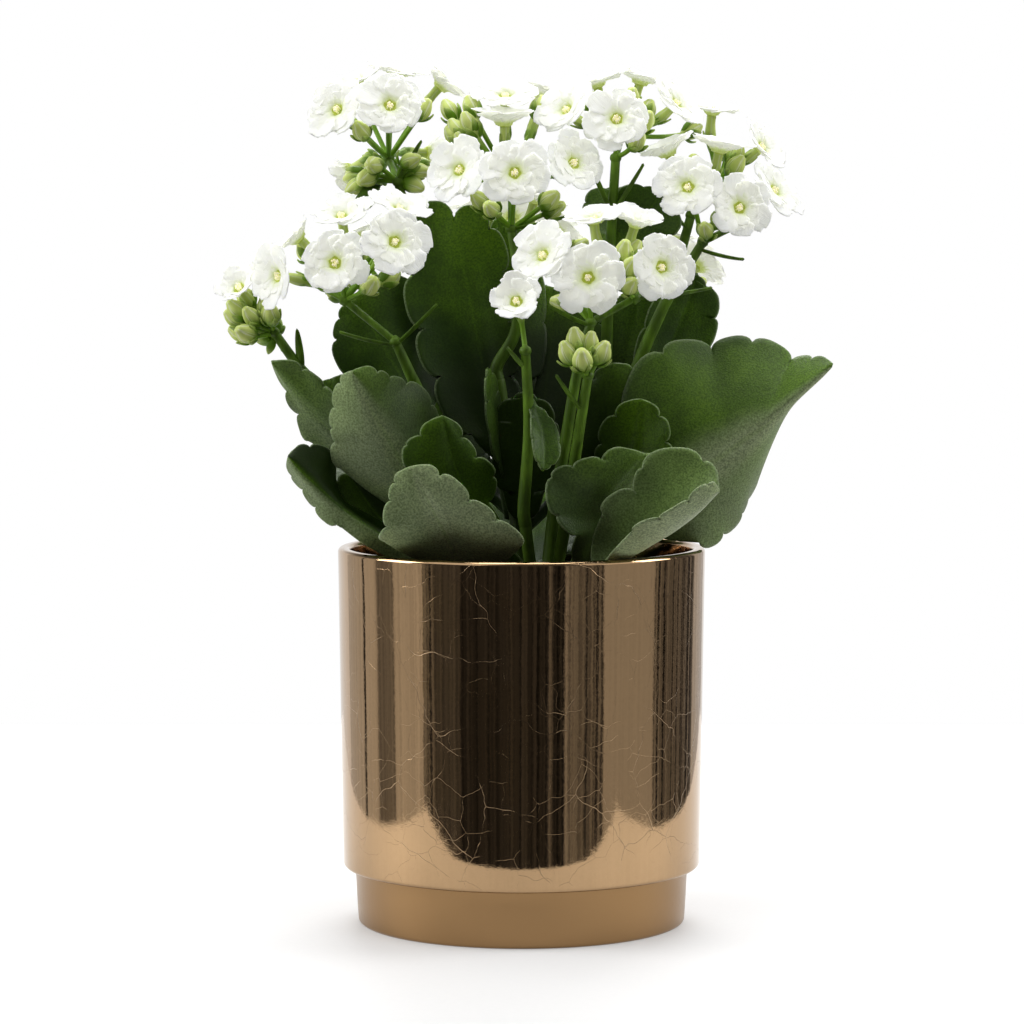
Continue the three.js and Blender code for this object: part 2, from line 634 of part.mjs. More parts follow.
// A closed sheet over a grid of rows from the petiole to the tip. at(row, column, side) gives its middle
// point there, its normal and its thickness. The halves share their first column, and the last row is one
// point.
function blade(last, columns, at) {
  const upper = [];
  const lower = [];
  const number = new Map();
  const place = (row, wantedColumn, side) => {
    const column = row === last ? 0 : wantedColumn;
    const key = `${row}:${column}:${column === 0 ? 0 : side}`;
    if (number.has(key)) return number.get(key);
    const [centre, normal, thickness] = at(row, columns[column], side);
    number.set(key, upper.length);
    upper.push(centre.clone().addScaledVector(normal, thickness / 2));
    lower.push(centre.clone().addScaledVector(normal, -thickness / 2));
    return upper.length - 1;
  };
  const top = [];
  const edges = [];
  for (const side of [-1, 1])
    for (let row = 0; row < last; row++)
      for (let column = 0; column + 1 < columns.length; column++) {
        const a = place(row, column, side);
        const b = place(row + 1, column, side);
        const c = place(row + 1, column + 1, side);
        const d = place(row, column + 1, side);
        const faces = row + 1 === last ? [[a, b, d]] : [[a, b, c], [a, c, d]];
        for (const [p, q, r] of faces) top.push(side > 0 ? [p, r, q] : [p, q, r]);
        if (column + 2 === columns.length) edges.push(side > 0 ? [c, d] : [d, c]);
        if (row === 0) edges.push(side > 0 ? [d, a] : [a, d]);
      }
  const count = upper.length;
  const triangles = [...top];
  for (const [p, q, r] of top) triangles.push([p + count, r + count, q + count]);
  for (const [p, q] of edges) triangles.push([p, q, q + count], [p, q + count, p + count]);
  return solid(faceted([...upper, ...lower], triangles));
}

// A leaf with even scallops and the same width from its midrib all along.
function plainLeaf({ base, bend, tip, half, face, fold, lobes = 3.5, spread = 0.5 }) {
  const fine = half[0] + half[1] > FINE_LEAF && tip[1] < BACK_LEAF;
  const midrib = new THREE.QuadraticBezierCurve3(vec(base), vec(bend), vec(tip));
  const margin = leafMargin(lobes, spread, fine);
  const last = margin.length - 1;
  const columns = fine && half[0] + half[1] > BROAD_LEAF ? THREE_LINES : TWO_LINES;
  return blade(last, columns, (row, column, side) => {
    const [marginShare, marginWidth, onPetiole] = margin[row];
    const midShare = onPetiole ? marginShare : PETIOLE_SHARE + (marginShare - PETIOLE_SHARE) * MIDRIB_LAG;
    const share = row === last ? marginShare : midShare + (marginShare - midShare) * column;
    const out = column * marginWidth * (onPetiole ? 1 : half[side > 0 ? 1 : 0]);
    const along = midrib.getTangent(share);
    const front = vec(face);
    front.addScaledVector(along, -front.dot(along)).normalize();
    const right = along.clone().cross(front).multiplyScalar(side);
    const angle = onPetiole || column === 0 ? 0 : THREE.MathUtils.degToRad(fold[side > 0 ? 1 : 0]);
    const outward = right.clone().multiplyScalar(Math.cos(angle)).addScaledVector(front, Math.sin(angle));
    const normal = front.clone().multiplyScalar(Math.cos(angle)).addScaledVector(right, -Math.sin(angle));
    const rim = row === last ? 1 : column;
    const thickness = onPetiole ? PETIOLE_THICKNESS : LEAF_THICKNESS + (LEAF_RIM - LEAF_THICKNESS) * rim;
    return [midrib.getPoint(share).addScaledVector(outward, out), normal, thickness];
  });
}

function nearestShare(curve, place) {
  const point = vec(place);
  let best = PETIOLE_SHARE;
  for (let share = PETIOLE_SHARE; share <= 1; share += SEARCH_STEP)
    if (curve.getPoint(share).distanceTo(point) < curve.getPoint(best).distanceTo(point)) best = share;
  return best;
}

// A leaf whose margins pass through the notches that left and right list from its petiole to its tip, with
// a rounded lobe between every two of them. bow lifts each half between the midrib and the margin, and crown
// takes the place of LOBE_BULGE for the two lobes at the tip.
function lobedLeaf({ base, bend, tip, left, right, bow = 0, crown = LOBE_BULGE }) {
  const midrib = new THREE.QuadraticBezierCurve3(vec(base), vec(bend), vec(tip));
  const middle = Math.floor(left.length / 2);
  const rightward = vec(right[middle]).sub(vec(left[middle]));
  const petioleEdge = (share, side) => {
    const along = midrib.getTangent(share);
    const out = rightward.clone().addScaledVector(along, -rightward.dot(along)).normalize();
    return midrib.getPoint(share).addScaledVector(out, side * PETIOLE_HALF_WIDTH);
  };
  const sections = left.length + 1;
  const marks = [PETIOLE_SHARE]; // where the rows to the notches leave the midrib
  for (const [notch, pair] of left.map((point, k) => [point, right[k]]).entries()) {
    const nearest = (nearestShare(midrib, pair[0]) + nearestShare(midrib, pair[1])) / 2;
    const share = PETIOLE_SHARE + (nearest - PETIOLE_SHARE) * MIDRIB_LAG;
    marks.push(Math.min(Math.max(share, marks[notch] + LEAST_STEP), 1 - LEAST_STEP * (left.length - notch)));
  }
  marks.push(1 - LEAST_STEP / 2);
  const onMargin = (section, phase, side) => {
    const ends = [petioleEdge(PETIOLE_SHARE, side), ...(side > 0 ? right : left).map(vec), vec(tip)];
    const start = ends[section];
    const chord = ends[section + 1].clone().sub(start);
    const inner = midrib.getPoint((marks[section] + marks[section + 1]) / 2);
    const out = start.clone().addScaledVector(chord, 0.5).sub(inner);
    out.addScaledVector(chord, -out.dot(chord) / chord.lengthSq()).normalize();
    const round = Math.sqrt(1 - Math.abs(2 * phase - 1) ** LOBE_BLUNTNESS);
    const lobe = section + 1 === sections ? crown : LOBE_BULGE;
    const bulge = section === 0 ? FLANK_BULGE * Math.sin(Math.PI * phase) : lobe * round;
    return start.clone().addScaledVector(chord, phase).addScaledVector(out, bulge * chord.length());
  };
  const rows = [[0, petioleEdge(0, -1), petioleEdge(0, 1), PETIOLE_THICKNESS]];
  for (let section = 0; section < sections; section++)
    for (const phase of section === 0 || bow === 0 ? PLAIN_PHASES : FINE_PHASES) {
      const share = marks[section] + (marks[section + 1] - marks[section]) * phase;
      const thickness = section + phase === 0 ? PETIOLE_THICKNESS : LEAF_RIM;
      rows.push([share, onMargin(section, phase, -1), onMargin(section, phase, 1), thickness]);
    }
  const last = rows.length;
  const faceOfHalf = (side) => {
    const face = v(0, 0, 0);
    for (const [share, leftEdge, rightEdge] of rows) {
      const out = (side > 0 ? rightEdge : leftEdge).clone().sub(midrib.getPoint(share));
      face.addScaledVector(out.cross(midrib.getTangent(share)), side);
    }
    return face.normalize();
  };
  const faces = { [-1]: faceOfHalf(-1), [1]: faceOfHalf(1) };
  const face = faces[-1].clone().add(faces[1]).normalize();
  return blade(last, bow === 0 ? TWO_LINES : THREE_LINES, (row, column, side) => {
    if (row === last) return [vec(tip), face, LEAF_RIM];
    const normal = column === 0 ? face : faces[side];
    const [share, leftEdge, rightEdge, rim] = rows[row];
    const centre = midrib.getPoint(share);
    const out = (side > 0 ? rightEdge : leftEdge).clone().sub(centre);
    const rise = bow * out.length() * Math.sin(Math.PI * column);
    const middleThickness = Math.max(rim, LEAF_THICKNESS);
    const thickness = middleThickness + (rim - middleThickness) * column;
    return [centre.addScaledVector(out, column).addScaledVector(normal, rise), normal, thickness];
  });
}

const leaf = (spec) => (spec.left ? lobedLeaf(spec) : plainLeaf(spec));

// ---- Flowers ---------------------------------------------------------------------------------------------

// A double flower with its throat on the origin, facing +Z: an outer and an inner layer of blunt petals.
// open is 1 when the petals lie flat and 0 when they stand upright. A ring's offset is counted in petals
// from the middle of the first one.
function doubleFlower(radius, open) {
  const rise = THREE.MathUtils.degToRad(UPRIGHT * (1 - open) - DROOP);
  const innerRise = Math.min(rise + INNER_RISE, STEEPEST);
  const petals = open > HALF_OPEN ? PETALS : HALF_OPEN_PETALS;
  const step = (2 * Math.PI) / petals;
  const points = [v(0, 0, -PETAL_ROOT), v(0, 0, 3 * PETAL_ROOT)];
  const ring = (reach, slope, offset, lift = 0, wave = 0) => {
    const first = points.length;
    for (let petal = 0; petal < petals; petal++) {
      const turn = (petal + offset) * step;
      const own = slope + (petal % 2 ? wave : -wave) * reach;
      const flat = reach * radius * Math.cos(own);
      points.push(v(flat * Math.cos(turn), flat * Math.sin(turn), lift + reach * radius * Math.sin(own)));
    }
    return (petal) => first + (petal % petals);
  };
  const notch = ring(NOTCH_REACH, rise, -0.5);
  const left = ring(1, rise, -TIP_HALF_WIDTH, 0, PETAL_WAVE);
  const right = ring(1, rise, TIP_HALF_WIDTH, 0, PETAL_WAVE);
  const ridge = ring(RIDGE_REACH, rise, 0, PETAL_THICKNESS, PETAL_WAVE);
  const waist = ring(WAIST_REACH, rise, -0.5, 1.4 * PETAL_ROOT);
  const innerNotch = ring(INNER_NOTCH_REACH, innerRise, 0, INNER_LIFT);
  const innerLeft = ring(INNER_REACH, innerRise, 0.5 - TIP_HALF_WIDTH, INNER_LIFT, PETAL_WAVE);
  const innerRight = ring(INNER_REACH, innerRise, 0.5 + TIP_HALF_WIDTH, INNER_LIFT, PETAL_WAVE);
  const triangles = [];
  for (let k = 0; k < petals; k++) {
    const outline = [notch(k), left(k), right(k), notch(k + 1)];
    const innerOutline = [innerNotch(k), innerLeft(k), innerRight(k), innerNotch(k + 1)];
    for (let edge = 0; edge < 3; edge++) {
      triangles.push([outline[edge + 1], outline[edge], 0], [outline[edge], outline[edge + 1], ridge(k)]);
      triangles.push([innerOutline[edge + 1], innerOutline[edge], waist(k + 1)]);
      triangles.push([innerOutline[edge], innerOutline[edge + 1], 1]);
    }
    triangles.push([waist(k), notch(k), ridge(k)], [notch(k + 1), waist(k + 1), ridge(k)]);
    triangles.push([waist(k), ridge(k), waist(k + 1)], [waist(k), waist(k + 1), innerNotch(k)]);
  }
  return faceted(points, triangles);
}

// Without a face of its own a flower looks away from the heart of its head, and a little to the front.
function faceOf(bloom, heart) {
  if (bloom.face) return vec(bloom.face).normalize();
  const front = bloom.at[1] < BACK_HEADS ? TO_THE_FRONT : 0;
  return vec(bloom.at).sub(vec(heart)).normalize().add(v(0, -front, 0)).normalize();
}

function bloom({ at, wide, open, face }, heart, turn) {
  const pose = new THREE.Matrix4().makeRotationFromQuaternion(
    new THREE.Quaternion().setFromUnitVectors(UP, faceOf({ at, face }, heart)),
  );
  const flower = doubleFlower(wide / 2, open).rotateZ(turn).applyMatrix4(pose);
  return solid(flower.translate(...at));
}

const nearest = (forks, point) =>
  forks.map(vec).reduce((best, fork) => (fork.distanceTo(point) < best.distanceTo(point) ? fork : best));

// Pedicel and tube of an open flower, from its fork to just under the petals.
function bloomTube(spec, heart, forks) {
  const face = faceOf(spec, heart);
  const top = vec(spec.at).addScaledVector(face, -PETAL_ROOT - GAP);
  const foot = top.clone().addScaledVector(face, -TUBE_LENGTH);
  const fork = nearest(forks, foot);
  const curve = new THREE.CubicBezierCurve3(fork, foot.clone().lerp(fork, 0.4), foot, top);
  const profile = [[0, PEDICEL_ROOT], [0.5, PEDICEL_RADIUS], [CALYX_SHARE, TUBE_RADIUS], [1, THROAT_RADIUS]];
  return solid(sweep(curve, profile, PEDICEL_SIDES));
}

function bud(tip, heart, forks) {
  const end = vec(tip);
  const fork = nearest(forks, end);
  const away = end.clone().sub(vec(heart)).normalize().lerp(UP, 0.25).normalize();
  const foot = end.clone().addScaledVector(away, -BUD_LENGTH);
  const curve = new THREE.CubicBezierCurve3(fork, foot.clone().lerp(fork, 0.5), foot, end);
  const start = Math.max(0.15, 1 - BUD_LENGTH / curve.getLength());
  const at = (share) => start + (1 - start) * share;
  const round = [[at(0.05), PEDICEL_RADIUS], [at(0.55), BUD_RADIUS], [1, BUD_TIP_RADIUS]];
  return solid(sweep(curve, [[0, PEDICEL_ROOT], ...round], BUD_SIDES));
}

const knuckle = ([x, y, z]) => solid(new THREE.OctahedronGeometry(KNUCKLE_RADIUS).translate(x, y, z));

// A narrow leaf-like scale below the flowers.
function bract({ from, to }) {
  const middle = vec(from).lerp(vec(to), 0.5).addScaledVector(UP, -BRACT_RADIUS);
  const curve = new THREE.QuadraticBezierCurve3(vec(from), middle, vec(to));
  const profile = [[0, BRACT_RADIUS * 0.6], [0.45, BRACT_RADIUS], [1, BRACT_RADIUS * 0.3]];
  return solid(sweep(curve, profile, PEDICEL_SIDES));
}

// ---- Parts -----------------------------------------------------------------------------------------------

const plant = new THREE.Group();
plant.name = "potted_kalanchoe";

// Turns a profile of [radius, height] round the pot's axis.
function turned(profile, segments) {
  const lathe = new THREE.LatheGeometry(profile.map(([r, z]) => new THREE.Vector2(r, z)), segments);
  return solid(lathe.rotateX(Math.PI / 2));
}

function coverPot() {
  const inner = RIM_RADIUS - POT_WALL;
  const footOuter = FOOT_RADIUS - FOOT_TAPER;
  const footInner = footOuter - POT_WALL;
  return turned(
    [
      [0, 0],
      [footOuter - POT_ROUNDING, 0],
      [footOuter, POT_ROUNDING],
      [FOOT_RADIUS, FOOT_HEIGHT],
      [BODY_FOOT_RADIUS - POT_ROUNDING, FOOT_HEIGHT],
      [BODY_FOOT_RADIUS, FOOT_HEIGHT + POT_ROUNDING],
      [RIM_RADIUS, POT_HEIGHT - POT_ROUNDING],
      [RIM_RADIUS - POT_ROUNDING, POT_HEIGHT],
      [inner + POT_ROUNDING, POT_HEIGHT],
      [inner, POT_HEIGHT - POT_ROUNDING],
      [BODY_FOOT_RADIUS - POT_WALL, FOOT_HEIGHT + FLOOR_CURVE],
      [footInner, FOOT_HEIGHT],
      [footInner, FLOOR_HEIGHT],
      [0, FLOOR_HEIGHT],
    ],
    POT_SEGMENTS,
  );
}

// Inner radius of the growing pot at a height.
function growerInside(z) {
  const share = (z - FLOOR_HEIGHT) / (GROWER_HEIGHT - GROWER_COLLAR);
  return GROWER_FOOT_RADIUS - GROWER_WALL + (GROWER_RIM_RADIUS - GROWER_STEP - GROWER_FOOT_RADIUS) * share;
}

function growingPot() {
  const top = FLOOR_HEIGHT + GROWER_HEIGHT;
  const collar = top - GROWER_COLLAR;
  const pot = turned(
    [
      [0, FLOOR_HEIGHT],
      [GROWER_FOOT_RADIUS, FLOOR_HEIGHT],
      [GROWER_RIM_RADIUS - GROWER_STEP, collar],
      [GROWER_RIM_RADIUS, collar],
      [GROWER_RIM_RADIUS, top],
      [GROWER_RIM_RADIUS - GROWER_WALL, top],
      [growerInside(collar), collar],
      [growerInside(FLOOR_HEIGHT + GROWER_WALL), FLOOR_HEIGHT + GROWER_WALL],
      [0, FLOOR_HEIGHT + GROWER_WALL],
    ],
    GROWER_SEGMENTS,
  );
  const holes = [];
  for (let hole = 0; hole < DRAIN_COUNT; hole++) {
    const turn = (2 * Math.PI * hole) / DRAIN_COUNT;
    const drill = new THREE.CylinderGeometry(DRAIN_RADIUS, DRAIN_RADIUS, 4 * GROWER_WALL, HOLE_SEGMENTS);
    drill.rotateX(Math.PI / 2);
    drill.translate(DRAIN_CIRCLE * Math.cos(turn), DRAIN_CIRCLE * Math.sin(turn), FLOOR_HEIGHT);
    holes.push(solid(drill));
  }
  return holes.reduce((rest, hole) => rest.subtract(hole), pot);
}

// Peat mix that fills the growing pot, with a plain hole for each stem.
function soil() {
  const foot = FLOOR_HEIGHT + GROWER_WALL + GAP;
  const edge = SOIL_TOP - SOIL_DOME;
  const block = turned(
    [
      [0, foot],
      [growerInside(foot) - GAP, foot],
      [growerInside(edge) - GAP, edge],
      [GROWER_RIM_RADIUS / 2, SOIL_TOP],
      [0, SOIL_TOP],
    ],
    GROWER_SEGMENTS,
  );
  const depth = SOIL_TOP - ROOT_FOOT + GAP;
  const sockets = Object.values(LEAFY_STEMS).map(({ path }) => {
    const [x, y] = path[0];
    const drill = new THREE.CylinderGeometry(SOCKET_RADIUS, SOCKET_RADIUS, 2 * depth, HOLE_SEGMENTS);
    return solid(drill.rotateX(Math.PI / 2).translate(x, y, SOIL_TOP));
  });
  return sockets.reduce((rest, socket) => rest.subtract(socket), block);
}

plant.add(meshOf("cover_pot", coverPot(), "bronze_glaze"));
plant.add(meshOf("growing_pot", growingPot(), "black_plastic"));
plant.add(meshOf("soil", soil(), "potting_soil"));

// Where each flower stalk begins, and the direction of the stem below it.
const seats = new Map();

for (const [name, { path, branches, leaves }] of Object.entries(LEAFY_STEMS)) {
  const pieces = [stem(path, STEM_RADIUS, STEM_TOP_RADIUS)];
  for (const branch of branches) pieces.push(stem(branch, STALK_RADIUS, STALK_RADIUS));
  for (const line of [path, ...branches]) seats.set(String(line.at(-1)), smooth(line).getTangentAt(1));
  for (const spec of leaves) pieces.push(leaf(spec));
  plant.add(meshOf(`leafy_stem_${name}`, fuse(pieces), "leaf_green"));
}

// A stalk's path from just clear of the stem that carries it, in line with that stem at first.
function raised(path) {
  const along = seats.get(String(path[0]));
  const start = [GAP, STALK_RADIUS * 2].map((rise) => vec(path[0]).addScaledVector(along, rise).toArray());
  return [...start, ...path.slice(1)];
}

for (const [name, spec] of Object.entries(FLOWER_STALKS)) {
  const { path, forks, heart, blooms, buds, bracts } = spec;
  const pieces = [stem(raised([...path, forks[0]]), STALK_RADIUS, STALK_RADIUS * 0.75)];
  for (const fork of forks) pieces.push(knuckle(fork));
  for (const fork of forks.slice(1))
    pieces.push(stem([forks[0], fork], ARM_RADIUS, ARM_RADIUS, PEDICEL_SIDES));
  for (const one of blooms) pieces.push(bloomTube(one, heart, forks));
  for (const tip of buds) pieces.push(bud(tip, heart, forks));
  for (const one of bracts) pieces.push(bract(one));
  for (const one of spec.leaves ?? []) pieces.push(leaf(one));
  plant.add(meshOf(`flower_stalk_${name}`, fuse(pieces), "stalk_green"));
  if (!blooms.length) continue;
  const whole = fuse(blooms.map((one, index) => bloom(one, heart, index)));
  const groups = whole.decompose().filter((group) => group.volume() > SCRAP); // petals that touch join up
  groups.forEach((group, index) => {
    plant.add(meshOf(`blooms_${name}_${index + 1}`, group, "petal_white"));
  });
}

export default plant;
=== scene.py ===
"""A white double-flowered kalanchoe in its growing pot, standing in a bronze-glazed cover pot.

Metres, +Z up; -Y is the plant's front. The plant's layout tables are in millimetres. blade() bends the
outline of a petal, bract, sepal or plain leaf along its spine, and grow_lobed_leaf() lays a leaf between two
margins from its layout.
"""

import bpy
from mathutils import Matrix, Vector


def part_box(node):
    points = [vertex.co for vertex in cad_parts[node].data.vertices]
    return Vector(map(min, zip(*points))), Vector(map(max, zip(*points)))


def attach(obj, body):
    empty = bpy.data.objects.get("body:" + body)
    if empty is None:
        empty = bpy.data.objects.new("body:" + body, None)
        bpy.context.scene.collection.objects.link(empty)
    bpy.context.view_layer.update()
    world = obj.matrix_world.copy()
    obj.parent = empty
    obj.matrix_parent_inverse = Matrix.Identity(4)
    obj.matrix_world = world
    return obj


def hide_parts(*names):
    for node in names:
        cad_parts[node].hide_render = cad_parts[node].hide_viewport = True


bl_info = {
    "name": "Potted Kalanchoe",
    "version": (1, 0, 0),
    "blender": (4, 5, 0),
    "location": "View3D > Sidebar > Kalanchoe",
    "description": "Dresses the frame of a potted kalanchoe: pots, peat, leaves, flower stalks and flowers",
    "category": "Object",
}

import math
from dataclasses import dataclass, field

import bpy
import numpy as np
from bpy.props import FloatProperty, FloatVectorProperty, IntProperty, PointerProperty
from mathutils import Vector

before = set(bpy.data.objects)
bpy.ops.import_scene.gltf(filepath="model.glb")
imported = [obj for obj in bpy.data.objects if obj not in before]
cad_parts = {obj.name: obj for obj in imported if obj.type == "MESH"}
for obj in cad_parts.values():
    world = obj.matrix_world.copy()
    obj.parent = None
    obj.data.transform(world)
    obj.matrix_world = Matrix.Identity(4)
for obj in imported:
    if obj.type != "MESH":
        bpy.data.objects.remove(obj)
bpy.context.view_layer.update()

MM = 0.001
BODY = "root"
SEED = 7

POT_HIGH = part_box("cover_pot")[1]
GROWER_LOW, GROWER_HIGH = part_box("growing_pot")
SOIL_LOW, SOIL_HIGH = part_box("soil")


# ---- Plant layout, in millimetres ----------------------------------------------------------------

LOBE_BULGE = 0.27  # how far a lobe stands out between its notches, as a share of their distance


@dataclass
class Leaf:
    """A leaf from base by bend to tip. half is half its width on the left and right of its midrib, face the
    way its upper side looks, and fold lifts each half towards the face, in degrees."""

    base: tuple
    bend: tuple
    tip: tuple
    half: tuple
    face: tuple
    fold: tuple
    lobes: float = 3.5  # scallops on each side


@dataclass
class LobedLeaf:
    """A leaf whose margins pass through the notches that left and right list from its petiole to its tip.
    bow lifts each half between the midrib and the margin, as a share of its width. crown is how far the two
    lobes at the tip stand out. The mark of wax, sheen and shade is how pale the bloom is on the left half,
    on the midrib if three numbers are given, and on the right half; that pale bloom is partly the leaf's wax
    and partly painted sheen. Below 0 it is painted shade: how dark that half is."""

    base: tuple
    bend: tuple
    tip: tuple
    left: list
    right: list
    bow: float = 0
    crown: float = LOBE_BULGE
    wax_sheen_and_shade: tuple = (0, 0)


@dataclass
class Bloom:
    """An open flower: its throat, its width, and 1 for flat petals or 0 for upright ones."""

    at: tuple
    wide: float
    open: float
    face: tuple = None  # where it isn't given, the flower looks away from the heart of its head


@dataclass
class Stem:
    path: list
    branches: list
    leaves: list


@dataclass
class Stalk:
    """A flower stalk along path that parts at its forks, with the flowers, buds and bracts of its head."""

    path: list
    forks: list
    heart: tuple
    blooms: list
    buds: list
    bracts: list
    leaves: list = field(default_factory=list)


